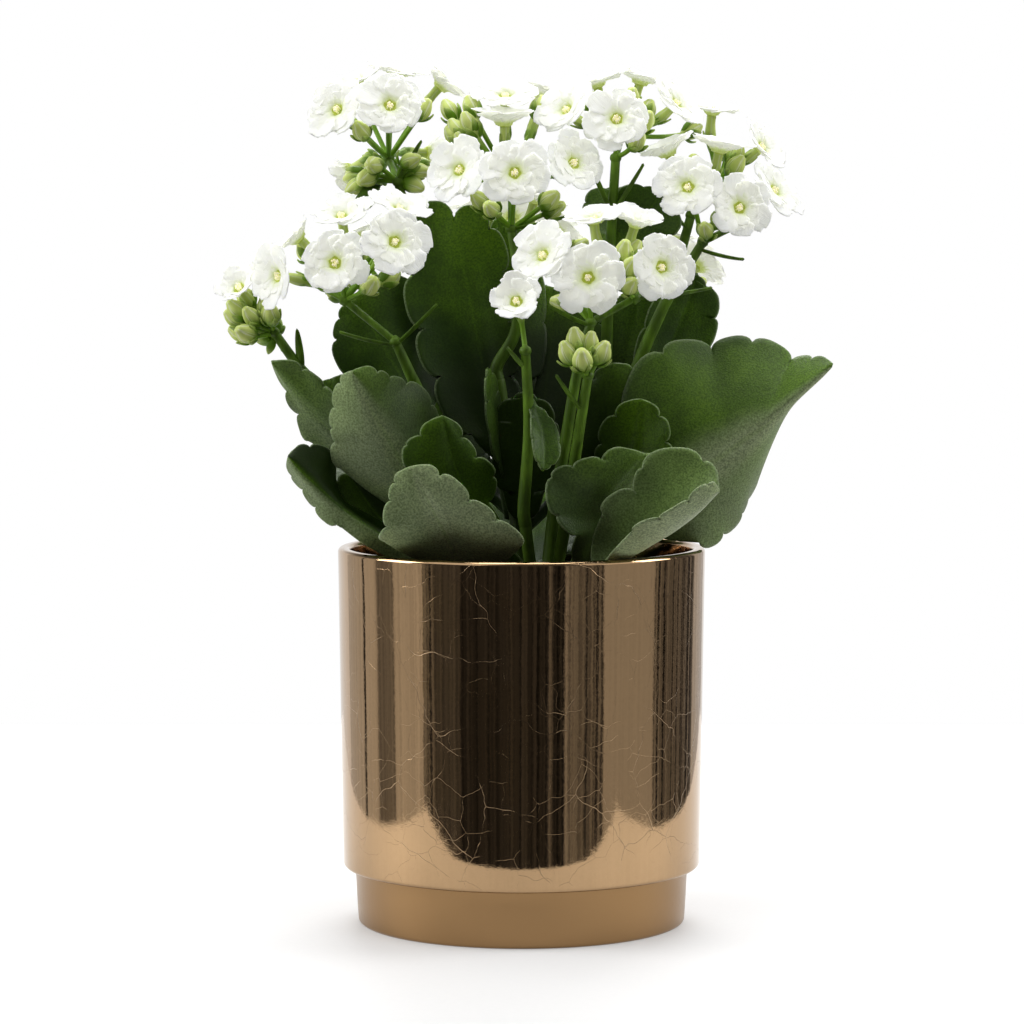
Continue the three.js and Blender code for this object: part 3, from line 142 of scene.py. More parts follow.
LEAFY_STEMS = {
    "left": Stem(
        path=[
            (-12, -6, 70), (-12, -6, 92), (-15, -8, 108), (-20, -11, 126), (-27, -15, 148),
            (-30, -17, 158),
        ],
        branches=[
            [(-21, -12, 128), (-38, 0, 140), (-52, 6, 152)],
        ],
        leaves=[
            LobedLeaf(
                base=(-13, -9, 100), bend=(-22, -50, 121), tip=(-32, -50, 140),
                bow=0.05, wax_sheen_and_shade=(0.75, 1.15, 0.9),
                left=[(-40, -42, 118), (-38, -46, 123), (-37, -48, 130), (-36, -49, 135)],
                right=[(0, -46, 117), (-8, -47, 124), (-16, -48, 130), (-24, -49, 137)],
            ),
            LobedLeaf(
                base=(-17, -10, 112), bend=(-37, -36, 140), tip=(-49, -38, 167),
                bow=0.05, wax_sheen_and_shade=(0.65, 1, 0.15),
                left=[(-53, -24, 138), (-54, -26, 146), (-55, -28, 150), (-54, -30, 156), (-52, -34, 163)],
                right=[(-25, -14, 145), (-27, -18, 156), (-34, -26, 162), (-39, -31, 164), (-42, -36, 166)],
            ),
            LobedLeaf(
                base=(-18, -9, 118), bend=(-60, -8, 147), tip=(-74, -12, 169), bow=-0.05, wax_sheen_and_shade=(0.3, 0.15),
                left=[(-63, -6, 145), (-66, -6, 153), (-69, -8, 160)],
                right=[(-54, -14, 153), (-59, -14, 161), (-65, -13, 166)],
            ),
            LobedLeaf(
                base=(-20, -11, 126), bend=(-56, 0, 150), tip=(-57, 2, 163),
                left=[(-50, 0, 140), (-61, 2, 145), (-62, 2, 151), (-61, 2, 160)],
                right=[(-41, -4, 144), (-42, -2, 153), (-47, 0, 159), (-52, 1, 163)],
            ),
            LobedLeaf(
                base=(-14, -9, 102), bend=(-55, -34, 124), tip=(-68, -30, 142), wax_sheen_and_shade=(0.55, -0.9),
                left=[(-54, -28, 122), (-60, -26, 127), (-64, -25, 132), (-67, -26, 136)],
                right=[(-53, -20, 128), (-55, -20, 135), (-56, -22, 142), (-62, -26, 144)],
            ),
            LobedLeaf(
                base=(-15, -8, 104), bend=(-44, -14, 119), tip=(-51, -18, 136), wax_sheen_and_shade=(-0.5, -0.9),
                left=[(-52, -18, 120), (-54, -19, 128), (-54, -19, 134)],
                right=[(-35, -14, 126), (-38, -15, 133), (-44, -17, 138)],
            ),
            LobedLeaf(
                base=(-26, -13, 146), bend=(-37, 2, 164), tip=(-50, 4, 187), bow=0.05,
                left=[(-41, 2, 161), (-50, 2, 164), (-55, 3, 175), (-54, 4, 181)],
                right=[(-24, 10, 166), (-26, 11, 178), (-32, 11, 189), (-41, 9, 193)],
            ),
            Leaf(
                base=(-13, -5, 106), bend=(-42, 18, 116), tip=(-58, 34, 142), half=(17, 17),
                face=(0.4, -0.4, 0.9), fold=(18, 18),
            ),
        ],
    ),
    "centre": Stem(
        path=[(0, -2, 70), (0, -2, 92), (0, -2, 110), (-3, -2, 135), (-6, -5, 156), (-7, -6, 163)],
        branches=[
            [(-3, -2, 136), (-8, 4, 147), (-14, 10, 157)],
        ],
        leaves=[
            LobedLeaf(
                base=(-3, 0, 122), bend=(-13, 2, 180), tip=(-20.4, 9, 210.6), bow=-0.06, crown=0.53,
                left=[(-15, -2, 147), (-24, -1, 164), (-29, 1, 178), (-32, 4, 194), (-31.5, 7, 210)],
                right=[(-6, 2, 147), (-4, 4, 164), (-4, 6, 180), (-6, 8, 195), (-10, 9, 208)],
            ),
            LobedLeaf(
                base=(-1, -4, 108), bend=(-19, -34, 129), tip=(-23, -36, 154), bow=0.08,
                left=[(-32, -32, 131), (-33, -34, 139), (-33, -36, 145), (-29, -36, 148)],
                right=[(-10, -24, 128), (-9, -26, 136), (-14, -32, 141), (-18, -34, 147)],
            ),
            Leaf(
                base=(-3, -4, 128), bend=(-8, -17, 146), tip=(-10, -21, 167), half=(6, 6),
                face=(0.95, -0.3, 0), fold=(0, 8),
            ),
            Leaf(
                base=(-3, 1, 140), bend=(0, 12, 172), tip=(-7, 18, 211), half=(9, 11),
                face=(0.3, -1, 0), fold=(0, 0),
            ),
            Leaf(
                base=(0, -4, 114), bend=(1, -12, 138), tip=(1, -16, 160), half=(10, 10),
                face=(0, -1, 0.3), fold=(6, 6),
            ),
            LobedLeaf(
                base=(0, 0, 118), bend=(9, 12, 162), tip=(10, 20, 190),
                left=[(3, 8, 141), (-4, 10, 153), (-6, 12, 168), (-5, 16, 179), (1, 19, 188)],
                right=[(15, 8, 141), (22, 10, 154), (24, 12, 167), (23, 16, 179), (19, 19, 187)],
            ),
        ],
    ),
    "right": Stem(
        path=[(14, 2, 70), (14, 2, 92), (17, 2, 106), (22, 3, 126), (28, 2, 150), (33, 1, 163)],
        branches=[
            [(22, 3, 127), (24, 6, 145), (25, 7, 160)],
            [(29, 3, 152), (33, 7, 162), (37, 8, 172)],
        ],
        leaves=[
            LobedLeaf(
                base=(19, 1, 114), bend=(57, -22, 135), tip=(92, -12, 168), bow=0.06, wax_sheen_and_shade=(0.05, 1.5, 0.45),
                left=[
                    (33, -8, 151), (42, -6, 171), (57, 0, 171), (69, 2, 174), (80, -2, 168), (86, -7, 169),
                ],
                right=[
                    (53, -8, 115), (60, -2, 118), (66, 3, 123), (68, 6, 127), (71, 8, 132), (78, 2, 155),
                ],
            ),
            LobedLeaf(
                base=(17, 0, 100), bend=(20, -42, 125), tip=(36, -37, 143), bow=0.05, wax_sheen_and_shade=(0.1, 0.25),
                left=[(16, -38, 120), (10, -42, 126), (9, -43, 136), (15, -43, 139), (23, -41, 141)],
                right=[(26, -26, 120), (31, -26, 124), (35, -27, 128), (37, -29, 134), (39, -33, 140)],
            ),
            LobedLeaf(
                base=(20, 1, 118), bend=(35, -16, 136), tip=(35, -20, 158),
                left=[(25, -14, 136), (24, -16, 145), (28, -18, 153)],
                right=[(42, -12, 136), (42, -16, 145), (40, -18, 153)],
            ),
            LobedLeaf(
                base=(19, 1, 118), bend=(25, -8, 145), tip=(27, -6, 168),
                left=[(18, -6, 133), (17, -6, 145), (18, -6, 155), (22, -6, 163)],
                right=[(32, -6, 136), (36, -6, 148), (37, -6, 158), (33, -6, 165)],
            ),
            LobedLeaf(
                base=(20, 5, 120), bend=(30, 20, 155), tip=(36, 24, 188),
                left=[(24, 14, 140), (21, 18, 152), (21, 22, 164), (23, 24, 176), (28, 24, 184)],
                right=[(33, 10, 141), (39, 14, 152), (43, 18, 163), (44, 21, 174), (43, 23, 184)],
            ),
            Leaf(
                base=(28, 4, 150), bend=(46, 16, 168), tip=(53, 19, 194), half=(10, 11),
                face=(0.2, -1, 0.2), fold=(4, 4),
            ),
            Leaf(
                base=(17, 4, 104), bend=(52, 14, 118), tip=(74, 20, 148), half=(18, 18),
                face=(-0.4, -0.4, 0.9), fold=(16, 16),
            ),
        ],
    ),
    "front": Stem(
        path=[(7, -22, 70), (7, -22, 92), (8, -23, 106), (9, -24, 118), (10, -26, 128)],
        branches=[
            [(7, -22, 94), (3, -28, 108), (1, -33, 122)],
            [(8, -23, 100), (11, -28, 112), (13, -31, 124)],
        ],
        leaves=[
            LobedLeaf(
                base=(9, -24, 102), bend=(49, -50, 120), tip=(56, -52, 134), bow=-0.1, wax_sheen_and_shade=(0.3, 1),
                left=[(23, -42, 126), (33, -45, 132), (35, -46, 139), (52, -47, 141)],
                right=[(32, -54, 122), (39, -58, 126), (47, -59, 131), (53, -57, 135)],
            ),
        ],
    ),
    "back": Stem(
        path=[(2, 22, 70), (2, 22, 92), (1, 25, 110), (0, 29, 130), (-2, 34, 152)],
        branches=[
            [(1, 28, 126), (-10, 35, 142), (-18, 40, 154)],
            [(1, 28, 124), (12, 34, 140), (20, 40, 152)],
        ],
        leaves=[
            Leaf(
                base=(2, 24, 98), bend=(-28, 38, 110), tip=(-52, 50, 138), half=(19, 19),
                face=(0.4, -0.4, 0.9), fold=(14, 14),
            ),
            Leaf(
                base=(2, 26, 100), bend=(4, 50, 112), tip=(6, 68, 136), half=(20, 20),
                face=(0, -0.5, 0.9), fold=(14, 14),
            ),
            Leaf(
                base=(3, 24, 104), bend=(32, 42, 116), tip=(50, 56, 142), half=(18, 18),
                face=(-0.4, -0.4, 0.9), fold=(14, 14),
            ),
            Leaf(
                base=(0, 28, 118), bend=(-26, 38, 140), tip=(-40, 44, 170), half=(15, 15),
                face=(0.5, -0.8, 0.5), fold=(10, 10),
            ),
            Leaf(
                base=(1, 28, 116), bend=(28, 38, 140), tip=(42, 46, 168), half=(15, 15),
                face=(-0.5, -0.8, 0.5), fold=(10, 10),
            ),
            Leaf(
                base=(-1, 31, 136), bend=(-2, 52, 152), tip=(-2, 58, 184), half=(15, 15),
                face=(0, -0.9, 0.4), fold=(10, 10),
            ),
        ],
    ),
}

FLOWER_STALKS = {
    "far_left": Stalk(
        path=[(-52, 6, 152), (-66, 3, 166)],
        forks=[(-74, 2, 177)],
        heart=(-74, 4, 176),
        blooms=[
            Bloom((-84, 0, 190), wide=15, open=0.5),
            Bloom((-77, 4, 193), wide=15, open=0.5),
        ],
        buds=[
            (-88, 1, 183), (-82, -4, 184), (-75, -4, 185), (-84, -6, 178), (-87, 5, 178),
            (-77, 2, 187), (-84, 6, 190), (-87, 0, 186), (-75, 8, 182), (-80, 4, 177),
        ],
        bracts=[((-66, 3, 166), (-67, -1, 178))],
    ),
    "left": Stalk(
        path=[(-30, -17, 158), (-33, -20, 166)],
        forks=[(-37, -22, 175), (-52, -18, 187)],
        heart=(-50, -14, 190),
        blooms=[
            Bloom((-54, -32, 198), wide=21, open=0.85),
            Bloom((-37, -34, 204), wide=21, open=0.85),
            Bloom((-71, -16, 194), wide=21, open=0.7, face=(-0.8, -0.6, 0.1)),
            Bloom((-36, -22, 213), wide=20, open=0.7, face=(0.3, -0.4, 0.9)),
            Bloom((-53, -13, 211), wide=21, open=0.7),
            Bloom((-66, -3, 205), wide=15, open=0.5),
        ],
        buds=[
            (-43, -30, 193), (-61, -12, 203), (-44, -14, 204), (-60, -6, 194), (-57, -10, 190),
            (-37, -6, 195), (-66, 2, 203),
        ],
        bracts=[((-37, -22, 174), (-25, -24, 186)), ((-37, -22, 174), (-53, -25, 178))],
    ),
    "upper_left": Stalk(
        path=[(-14, 10, 157), (-25, 17, 183), (-33, 12, 207)],
        forks=[(-37, 7, 222), (-40, 15, 229)],
        heart=(-42, 12, 232),
        blooms=[
            Bloom((-54.5, 2, 243), wide=21, open=0.8),
            Bloom((-39, -5, 244), wide=21, open=0.9, face=(0.1, -0.9, 0.45)),
            Bloom((-50, 20, 251), wide=21, open=0.8),
            Bloom((-38, 24, 254), wide=21, open=0.8),
            Bloom((-25, 32, 251), wide=18, open=0.6),
            Bloom((-52, 32, 226), wide=14, open=0.4),
            Bloom((-29, 36, 231), wide=14, open=0.4),
        ],
        buds=[
            (-49, 0, 239), (-53, 22, 223), (-47, 24, 229), (-45, 32, 222), (-33, 32, 224),
            (-28, 28, 227), (-48, 4, 222), (-45, 0, 227), (-52, 8, 219), (-31, 2, 229),
            (-28, 8, 225), (-30, 6, 220), (-28, 10, 246),
        ],
        bracts=[((-37, 7, 222), (-30, 2, 234))],
        leaves=[
            Leaf(
                base=(-33, 12, 208), bend=(-40, 5, 229), tip=(-49, 1, 212), half=(4.5, 4.5),
                face=(0, -0.3, 0.95), fold=(6, 6), lobes=2.5,
            ),
        ],
    ),
    "centre": Stalk(
        path=[(-7, -6, 163), (-2, -8, 177), (-1, -9, 192)],
        forks=[(-3, -8, 208), (-3, 2, 222)],
        heart=(-2, 2, 214),
        blooms=[
            Bloom((-2, -24, 224), wide=22, open=0.95, face=(0, -0.93, 0.35)),
            Bloom((-18, -11, 225), wide=21, open=0.8),
            Bloom((15, -11, 227), wide=20, open=0.8),
            Bloom((-5, 14, 247), wide=20, open=0.85, face=(0, -0.45, 0.9)),
            Bloom((-5, 3, 239), wide=21, open=0.6, face=(0, -0.1, 1)),
            Bloom((6, 31, 248), wide=20, open=0.7),
        ],
        buds=[
            (-10, -20, 215), (-14, -14, 218), (10, -14, 218), (12, -10, 215), (-21, 8, 240),
            (-17, 4, 242), (-16, 12, 247), (-23, 16, 246), (-16, 4, 241), (-22, 8, 238),
            (-19, 4, 236), (6, 14, 247), (-14, -8, 217),
        ],
        bracts=[((-3, -8, 208), (14, -14, 212))],
    ),
    "upper_right": Stalk(
        path=[(25, 7, 160), (26, 4, 190), (27, 0, 212)],
        forks=[(28, 0, 229), (30, 10, 236)],
        heart=(29, 8, 228),
        blooms=[
            Bloom((28, -9, 240), wide=21, open=0.9, face=(0, -0.9, 0.4)),
            Bloom((14, 5, 243), wide=21, open=0.75),
            Bloom((24, 2, 239), wide=13, open=0.6, face=(-0.6, -0.7, 0.3)),
            Bloom((23, 22, 251), wide=21, open=0.8),
            Bloom((36, 26, 252), wide=21, open=0.8),
            Bloom((46, 12, 245), wide=20, open=0.85),
        ],
        buds=[
            (35, -8, 236), (38, -2, 242), (33, 0, 249), (20, 14, 249), (54, 24, 239),
            (39, 20, 246),
        ],
        bracts=[((27, 0, 212), (20, -4, 228)), ((27, 0, 212), (36, -3, 227))],
        leaves=[
            Leaf(
                base=(26, 2, 198), bend=(34, 4, 207), tip=(42, 5, 219), half=(11, 11),
                face=(0.1, -1, 0.3), fold=(12, 12), lobes=2.5,
            ),
            Leaf(
                base=(26, 3, 203), bend=(26, 14, 210), tip=(30, 18, 220), half=(9, 9),
                face=(-0.1, -0.9, 0.4), fold=(6, 6), lobes=2.5,
            ),
        ],
    ),
    "right": Stalk(
        path=[(33, 1, 163), (42, 0, 184)],
        forks=[(54, 0, 204), (64, 0, 209)],
        heart=(57, 4, 206),
        blooms=[
            Bloom((49, -14, 220), wide=21, open=0.85, face=(-0.2, -0.9, 0.35)),
            Bloom((64, -11, 214), wide=20, open=0.85, face=(0.3, -0.9, 0.2)),
            Bloom((75, 5, 219), wide=21, open=0.8),
        ],
        buds=[(54, -8, 209), (60, 12, 213)],
        bracts=[((53, 0, 202), (66, -2, 199))],
    ),
    "right_back": Stalk(
        path=[(37, 8, 172), (44, 8, 188)],
        forks=[(51, 11, 212), (60, 18, 222)],
        heart=(55, 14, 218),
        blooms=[
            Bloom((44, 3, 230), wide=20, open=0.6, face=(-0.4, -0.1, 1)),
            Bloom((59, 4, 231), wide=21, open=0.7, face=(0.2, -0.1, 1)),
            Bloom((72, 17, 232), wide=20, open=0.7),
            Bloom((58, 27, 243), wide=20, open=0.8),
        ],
        buds=[
            (51, -2, 229), (66, 9, 229), (64, 28, 234), (66, 18, 233), (55, 6, 227),
            (72, 16, 214),
        ],
        bracts=[((50, 10, 208), (40, 12, 219))],
    ),
    "front": Stalk(
        path=[(10, -26, 128), (13, -29, 148), (16, -32, 166)],
        forks=[(20, -33, 181), (33, -30, 188)],
        heart=(24, -24, 190),
        blooms=[
            Bloom((6.5, -39.5, 200), wide=21, open=0.8, face=(-0.5, -0.75, 0.45)),
            Bloom((19, -46, 194), wide=22, open=0.95, face=(-0.05, -0.98, 0.1)),
            Bloom((40, -38, 197), wide=21, open=0.85, face=(0.4, -0.9, 0.1)),
            Bloom((21, -28, 210), wide=20, open=0.8, face=(-0.1, -0.25, 1)),
            Bloom((33, -25, 209), wide=18, open=0.5, face=(0.3, -0.3, 0.9)),
        ],
        buds=[
            (30, -36, 204), (32, -40, 199), (32, -41, 193), (32, -30, 197), (34, -26, 204),
            (9, -24, 187), (11, -16, 195),
        ],
        bracts=[((33, -30, 188), (55, -30, 191)), ((20, -33, 180), (8, -38, 186))],
    ),
    "front_single": Stalk(
        path=[(1, -33, 122), (2, -38, 150)],
        forks=[(1, -43, 173)],
        heart=(1, -42, 176),
        blooms=[
            Bloom((-1.5, -48, 187), wide=17, open=0.5, face=(-0.15, -0.86, 0.48)),
        ],
        buds=[],
        bracts=[((1, -42, 168), (-4, -44, 174))],
        leaves=[
            Leaf(
                base=(2, -38, 159), bend=(7, -43, 152), tip=(6, -47, 139), half=(5, 5),
                face=(0.5, -0.8, 0), fold=(20, 20), lobes=2.5,
            ),
        ],
    ),
    "front_budded": Stalk(
        path=[(13, -31, 124), (16, -38, 146)],
        forks=[(19, -43, 166)],
        heart=(18, -43, 166),
        blooms=[],
        buds=[
            (15, -46, 179), (12, -47, 175), (20, -46, 178), (24, -47, 175), (17, -49, 173),
            (17, -52, 173),
        ],
        bracts=[((17, -41, 156), (10, -43, 166))],
    ),
    "back_left": Stalk(
        path=[(-18, 40, 154), (-30, 42, 172)],
        forks=[(-40, 45, 188)],
        heart=(-43, 49, 184),
        blooms=[
            Bloom((-38, 43, 207), wide=21, open=0.85),
            Bloom((-52, 49, 205), wide=21, open=0.85),
            Bloom((-42, 61, 204), wide=21, open=0.85),
            Bloom((-55, 60, 198), wide=20, open=0.75),
        ],
        buds=[(-30, 60, 198), (-56, 36, 194)],
        bracts=[((-39, 45, 186), (-48, 54, 182))],
    ),
    "back": Stalk(
        path=[(-2, 34, 152), (-3, 42, 176)],
        forks=[(-4, 49, 194)],
        heart=(-4, 50, 190),
        blooms=[
            Bloom((-12, 50, 215), wide=21, open=0.85),
            Bloom((4, 51, 216), wide=21, open=0.85),
            Bloom((-3, 65, 211), wide=21, open=0.85),
            Bloom((11, 61, 207), wide=20, open=0.8),
            Bloom((-18, 60, 206), wide=20, open=0.8),
        ],
        buds=[(4, 72, 195), (20, 48, 204)],
        bracts=[((-4, 48, 192), (8, 56, 190))],
    ),
    "back_right": Stalk(
        path=[(20, 40, 152), (29, 42, 170)],
        forks=[(38, 46, 186)],
        heart=(40, 48, 182),
        blooms=[
            Bloom((34, 45, 207), wide=21, open=0.85),
            Bloom((48, 46, 205), wide=21, open=0.85),
            Bloom((41, 60, 203), wide=21, open=0.85),
            Bloom((55, 58, 196), wide=20, open=0.75),
        ],
        buds=[(27, 60, 196), (56, 38, 192)],
        bracts=[((37, 45, 184), (46, 54, 181))],
    ),
}


# ---- Sizes and colours that a user would change --------------------------------------------------


def length(name, description, millimetres):
    """A length property, given in millimetres."""
    return FloatProperty(name=name, description=description, default=millimetres * MM, min=0, unit="LENGTH")


def share(name, description, default):
    """A property from 0 to 1."""
    return FloatProperty(name=name, description=description, default=default, min=0, max=1, subtype="FACTOR")


def colour(name, description, rgb):
    """A colour property."""
    return FloatVectorProperty(
        name=name, description=description, default=rgb, size=3, min=0, max=1, subtype="COLOR"
    )


class PotSettings(bpy.types.PropertyGroup):
    wall: length("Wall", "Thickness of the ceramic at the rim", 3.8)
    foot_height: length("Foot height", "Height of the recessed ring under the body", 17)
    foot_step: length("Foot step", "How far the foot stands back from the body", 3.6)
    foot_taper: length("Foot taper", "How much the foot's radius shrinks towards the table", 0.9)
    body_taper: length("Body taper", "How much the body's radius shrinks towards its lower edge", 1.4)
    rounding: length("Edge rounding", "Radius of the rim and of the body's lower edge", 1.3)
    floor_height: length("Floor height", "Upper side of the pot's floor", 6)
    glaze: colour("Glaze", "Colour of the bronze lustre", (0.445, 0.292, 0.158))
    crackle: length("Crackle depth", "Depth of the fine cracks in the glaze", 0.02)
    plastic: colour("Growing pot", "Colour of the thin plastic pot", (0.02, 0.02, 0.021))
    peat: colour("Peat", "Colour of the potting mix", (0.035, 0.021, 0.013))


class LeafSettings(bpy.types.PropertyGroup):
    thickness: length("Thickness", "Blade at its midrib", 1.7)
    rim: length("Margin", "Blade at its margin", 0.75)
    petiole: length("Petiole", "Half the width of the leaf's foot", 2.0)
    scallop: share("Scallops", "Depth of the notches between scallops", 0.11)
    deep_green: colour("Deep green", "Shaded upper side", (0.022, 0.056, 0.002))
    fresh_green: colour("Fresh green", "Lighter patches and young growth", (0.12, 0.24, 0.008))
    # The bloom colour is partly the leaves' pale wax and partly painted sheen.
    bloom: colour("Bloom", "Pale wax on the outer leaves", (0.42, 0.5, 0.27))
    margin: colour("Pale margin", "Thin line along the leaf's edge", (0.3, 0.38, 0.2))


class FlowerSettings(bpy.types.PropertyGroup):
    petal_thickness: length("Petal thickness", "Thickness of a petal", 0.34)
    stalk_radius: length("Stalk radius", "Radius of a flower stalk", 1.75)
    pedicel_radius: length("Pedicel radius", "Radius of the thin stem of a flower", 0.72)
    bud_radius: length("Bud radius", "Radius of an unopened bud", 2.75)
    bud_length: length("Bud length", "Length of an unopened bud", 7.0)
    petal: colour("Petal", "Open petals", (0.82, 0.825, 0.775))
    throat: colour("Throat", "Foot of the petals and the flower's throat", (0.5, 0.6, 0.08))
    anther: colour("Anther", "Stamens in the throat", (0.92, 0.84, 0.5))
    stalk: colour("Stalk", "Stalks and pedicels", (0.08, 0.155, 0.008))
    bud: colour("Bud", "Unopened buds and flower tubes", (0.6, 0.69, 0.2))


class StageSettings(bpy.types.PropertyGroup):
    focal_length: FloatProperty(name="Lens", description="Focal length in millimetres", default=136.1, min=1)
    camera_height: length("Camera height", "Height of the lens above the table", 210.25)
    camera_distance: length("Camera distance", "From the lens to the pot's axis", 1156.79)
    camera_side: length("Camera side", "How far the lens stands left of the axis", 2.84)
    camera_pitch: FloatProperty(
        name="Camera pitch", description="Downward tilt", default=0.075, subtype="ANGLE", unit="ROTATION"
    )
    table_front: length("Table front", "From the pot's axis to the table's front edge", 153)
    table_back: length("Table back", "From the pot's axis to the table's back edge", 450)
    table_half: length("Table half width", "From the pot's axis to each side of the table", 232)


# ---- Shader nodes written as expressions ---------------------------------------------------------


class Value:
    """An output socket. Arithmetic on it adds Math nodes to its tree."""

    def __init__(self, paint, socket):
        self.paint = paint
        self.socket = socket

    def math(self, operation, *others, swap=False):
        """Adds a Math node; swap puts this value last."""
        terms = [self, *others]
        if swap:
            terms.reverse()
        return self.paint.node("ShaderNodeMath", {"operation": operation}, dict(enumerate(terms)))

    def __add__(self, other):
        return self.math("ADD", other)

    def __sub__(self, other):
        return self.math("SUBTRACT", other)

    def __rsub__(self, other):
        return self.math("SUBTRACT", other, swap=True)

    def __mul__(self, other):
        return self.math("MULTIPLY", other)

    def __truediv__(self, other):
        return self.math("DIVIDE", other)

    __radd__ = __add__
    __rmul__ = __mul__

    def step(self, low, high):
        """0 up to low, 1 from high on, and smooth between them. It falls where low is above high."""
        ends = {"From Min": low, "From Max": high, "Value": self}
        return self.paint.node("ShaderNodeMapRange", {"interpolation_type": "SMOOTHSTEP"}, ends)


class Paint:
    """The node tree of one material or of the world."""

    def __init__(self, owner):
        owner.use_nodes = True
        self.tree = owner.node_tree
        self.tree.nodes.clear()

    def node(self, kind, settings=None, sockets=None, output=0):
        """Adds a node, with its settings first, then the values or links of its sockets."""
        node = self.tree.nodes.new(kind)
        for name, setting in (settings or {}).items():
            setattr(node, name, setting)
        for name, value in (sockets or {}).items():
            if isinstance(value, Value):
                self.tree.links.new(value.socket, node.inputs[name])
            else:
                node.inputs[name].default_value = value
        return Value(self, node.outputs[output]) if node.outputs else None

    def mix(self, factor, low, high):
        """A colour between two colours."""
        ends = [one if isinstance(one, Value) else (*one, 1) for one in (low, high)]
        sockets = {0: factor, 6: ends[0], 7: ends[1]}
        return self.node("ShaderNodeMix", {"data_type": "RGBA"}, sockets, 2)

    def place(self):
        """The point on the object, in metres."""
        return self.node("ShaderNodeTexCoord", output="Object")

    def split(self, vector):
        """The three parts of a vector."""
        kind = "ShaderNodeSeparateXYZ"
        return [self.node(kind, sockets={"Vector": vector}, output=axis) for axis in "XYZ"]

    def grown(self):
        """How far along its blade or stem a point lies, how far across, and a mark that its maker chose."""
        return self.split(self.node("ShaderNodeAttribute", {"attribute_name": GROWN}, output="Vector"))

    def stretched(self, vector, factors):
        """The vector with each part times its factor; a pattern on it is long where the factor is small."""
        return self.node("ShaderNodeVectorMath", {"operation": "MULTIPLY"}, {0: vector, 1: factors})

    def noise(self, vector, grain, detail=2, roughness=0.5):
        """Noise with features of about grain metres."""
        sockets = {"Vector": vector, "Scale": 1 / grain, "Detail": detail, "Roughness": roughness}
        return self.node("ShaderNodeTexNoise", sockets=sockets)

    def bump(self, height, depth, after=None):
        """Relief of depth metres; after is the normal that it adds to."""
        sockets = {"Height": height, "Distance": depth, "Strength": 1}
        if after:
            sockets["Normal"] = after
        return self.node("ShaderNodeBump", sockets=sockets)

    def surface(self, sockets):
        """Ends a material with its shader."""
        shader = self.node("ShaderNodeBsdfPrincipled", sockets=sockets)
        self.node("ShaderNodeOutputMaterial", sockets={"Surface": shader})


def finish_of(name):
    """A new material, and the paint of its node tree."""
    material = bpy.data.materials.new(name)
    return material, Paint(material)


def tinted(tone, share):
    """A colour with every channel times share, and white at most."""
    return [min(1, level * share) for level in tone]


# Two nets of cracks: the size of a cell, the width of a crack as a share of it, and how deep the net is.
CRACK_NETS = ((24 * MM, 0.0036, 1.0), (10 * MM, 0.0048, 0.6))
CRACK_WANDER = 7 * MM  # how far the cracks stray from straight lines
# Colour of the cracks, lighter than the glaze: a painted glint where they catch light.
CRACK_GLINT_TONE = (0.6, 0.48, 0.36)
FOOT_SHADE_TONE = (0.71, 0.65, 0.55)  # the matt foot's colour as shares of the glaze's, darker as painted shade where it mirrors the shadowed table


def glaze_finish(pot):
    """Bronze lustre: a mirror with soft mottling, long vertical drags, a fine net of cracks with a painted
    glint, and painted shade on its foot.
    """
    material, paint = finish_of("bronze_glaze")
    place = paint.place()
    height = paint.split(place)[2]
    on_foot = height.step(pot.foot_height + 0.8 * MM, pot.foot_height - 0.4 * MM)
    drags = paint.noise(paint.stretched(place, (1, 1, 0.03)), 1.6 * MM, 3, 0.6)
    mottle = paint.noise(place, 1.5 * MM, 4, 0.62)
    clouds = paint.noise(place, 26 * MM, 2)
    wander = paint.node("ShaderNodeTexNoise", sockets={"Vector": place, "Scale": 90.0}, output="Color")
    terms = {0: wander, 1: (CRACK_WANDER,) * 3, 2: place}
    bent = paint.node("ShaderNodeVectorMath", {"operation": "MULTIPLY_ADD"}, terms)
    cracks = 0
    for cell, width, depth in CRACK_NETS:
        sockets = {"Vector": bent, "Scale": 1 / cell}
        edge = paint.node("ShaderNodeTexVoronoi", {"feature": "DISTANCE_TO_EDGE"}, sockets)
        cracks = edge.step(width, width * 0.25) * depth + cracks
    broken = paint.noise(place, 12 * MM, 2).step(0.35, 0.65)
    cracks = cracks * broken * (1 - on_foot)
    worn = (mottle - 0.5) * 0.5 + (drags - 0.5) * 0.35
    rough = 0.045 + worn.step(0.0, 0.16) * 0.06 + on_foot * 0.25 + cracks * 0.3
    tone = clouds * 0.25 + mottle * 0.35 + drags * 0.35
    base = paint.mix(tone, tinted(pot.glaze, 0.8), tinted(pot.glaze, 1.16))
    # Painted glint along the cracks.
    base = paint.mix(cracks * 0.2, base, CRACK_GLINT_TONE)
    # Painted shade: the foot darker, where it mirrors the shadowed table.
    base = paint.mix(on_foot, base, [level * share for level, share in zip(pot.glaze, FOOT_SHADE_TONE)])
    relief = paint.bump(cracks * -1, pot.crackle)
    relief = paint.bump(clouds, 0.1 * MM, relief)
    relief = paint.bump(mottle, 0.009 * MM, relief)
    relief = paint.bump(drags, 0.006 * MM, relief)
    paint.surface({"Base Color": base, "Metallic": 1.0, "Roughness": rough, "Normal": relief})
    return material


def plastic_finish(pot):
    """Black plastic with faint upright scuffs."""
    material, paint = finish_of("black_plastic")
    place = paint.place()
    grain = paint.noise(place, 0.6 * MM, 3)
    scuff = paint.noise(paint.stretched(place, (1, 1, 0.2)), 7 * MM, 3)
    base = paint.mix(scuff * 0.5, pot.plastic, tinted(pot.plastic, 2.4))
    relief = paint.bump(grain, 0.05 * MM)
    paint.surface({"Base Color": base, "Roughness": 0.45 + scuff * 0.25, "Normal": relief})
    return material


PALE_CRUMB = (0.62, 0.6, 0.55)


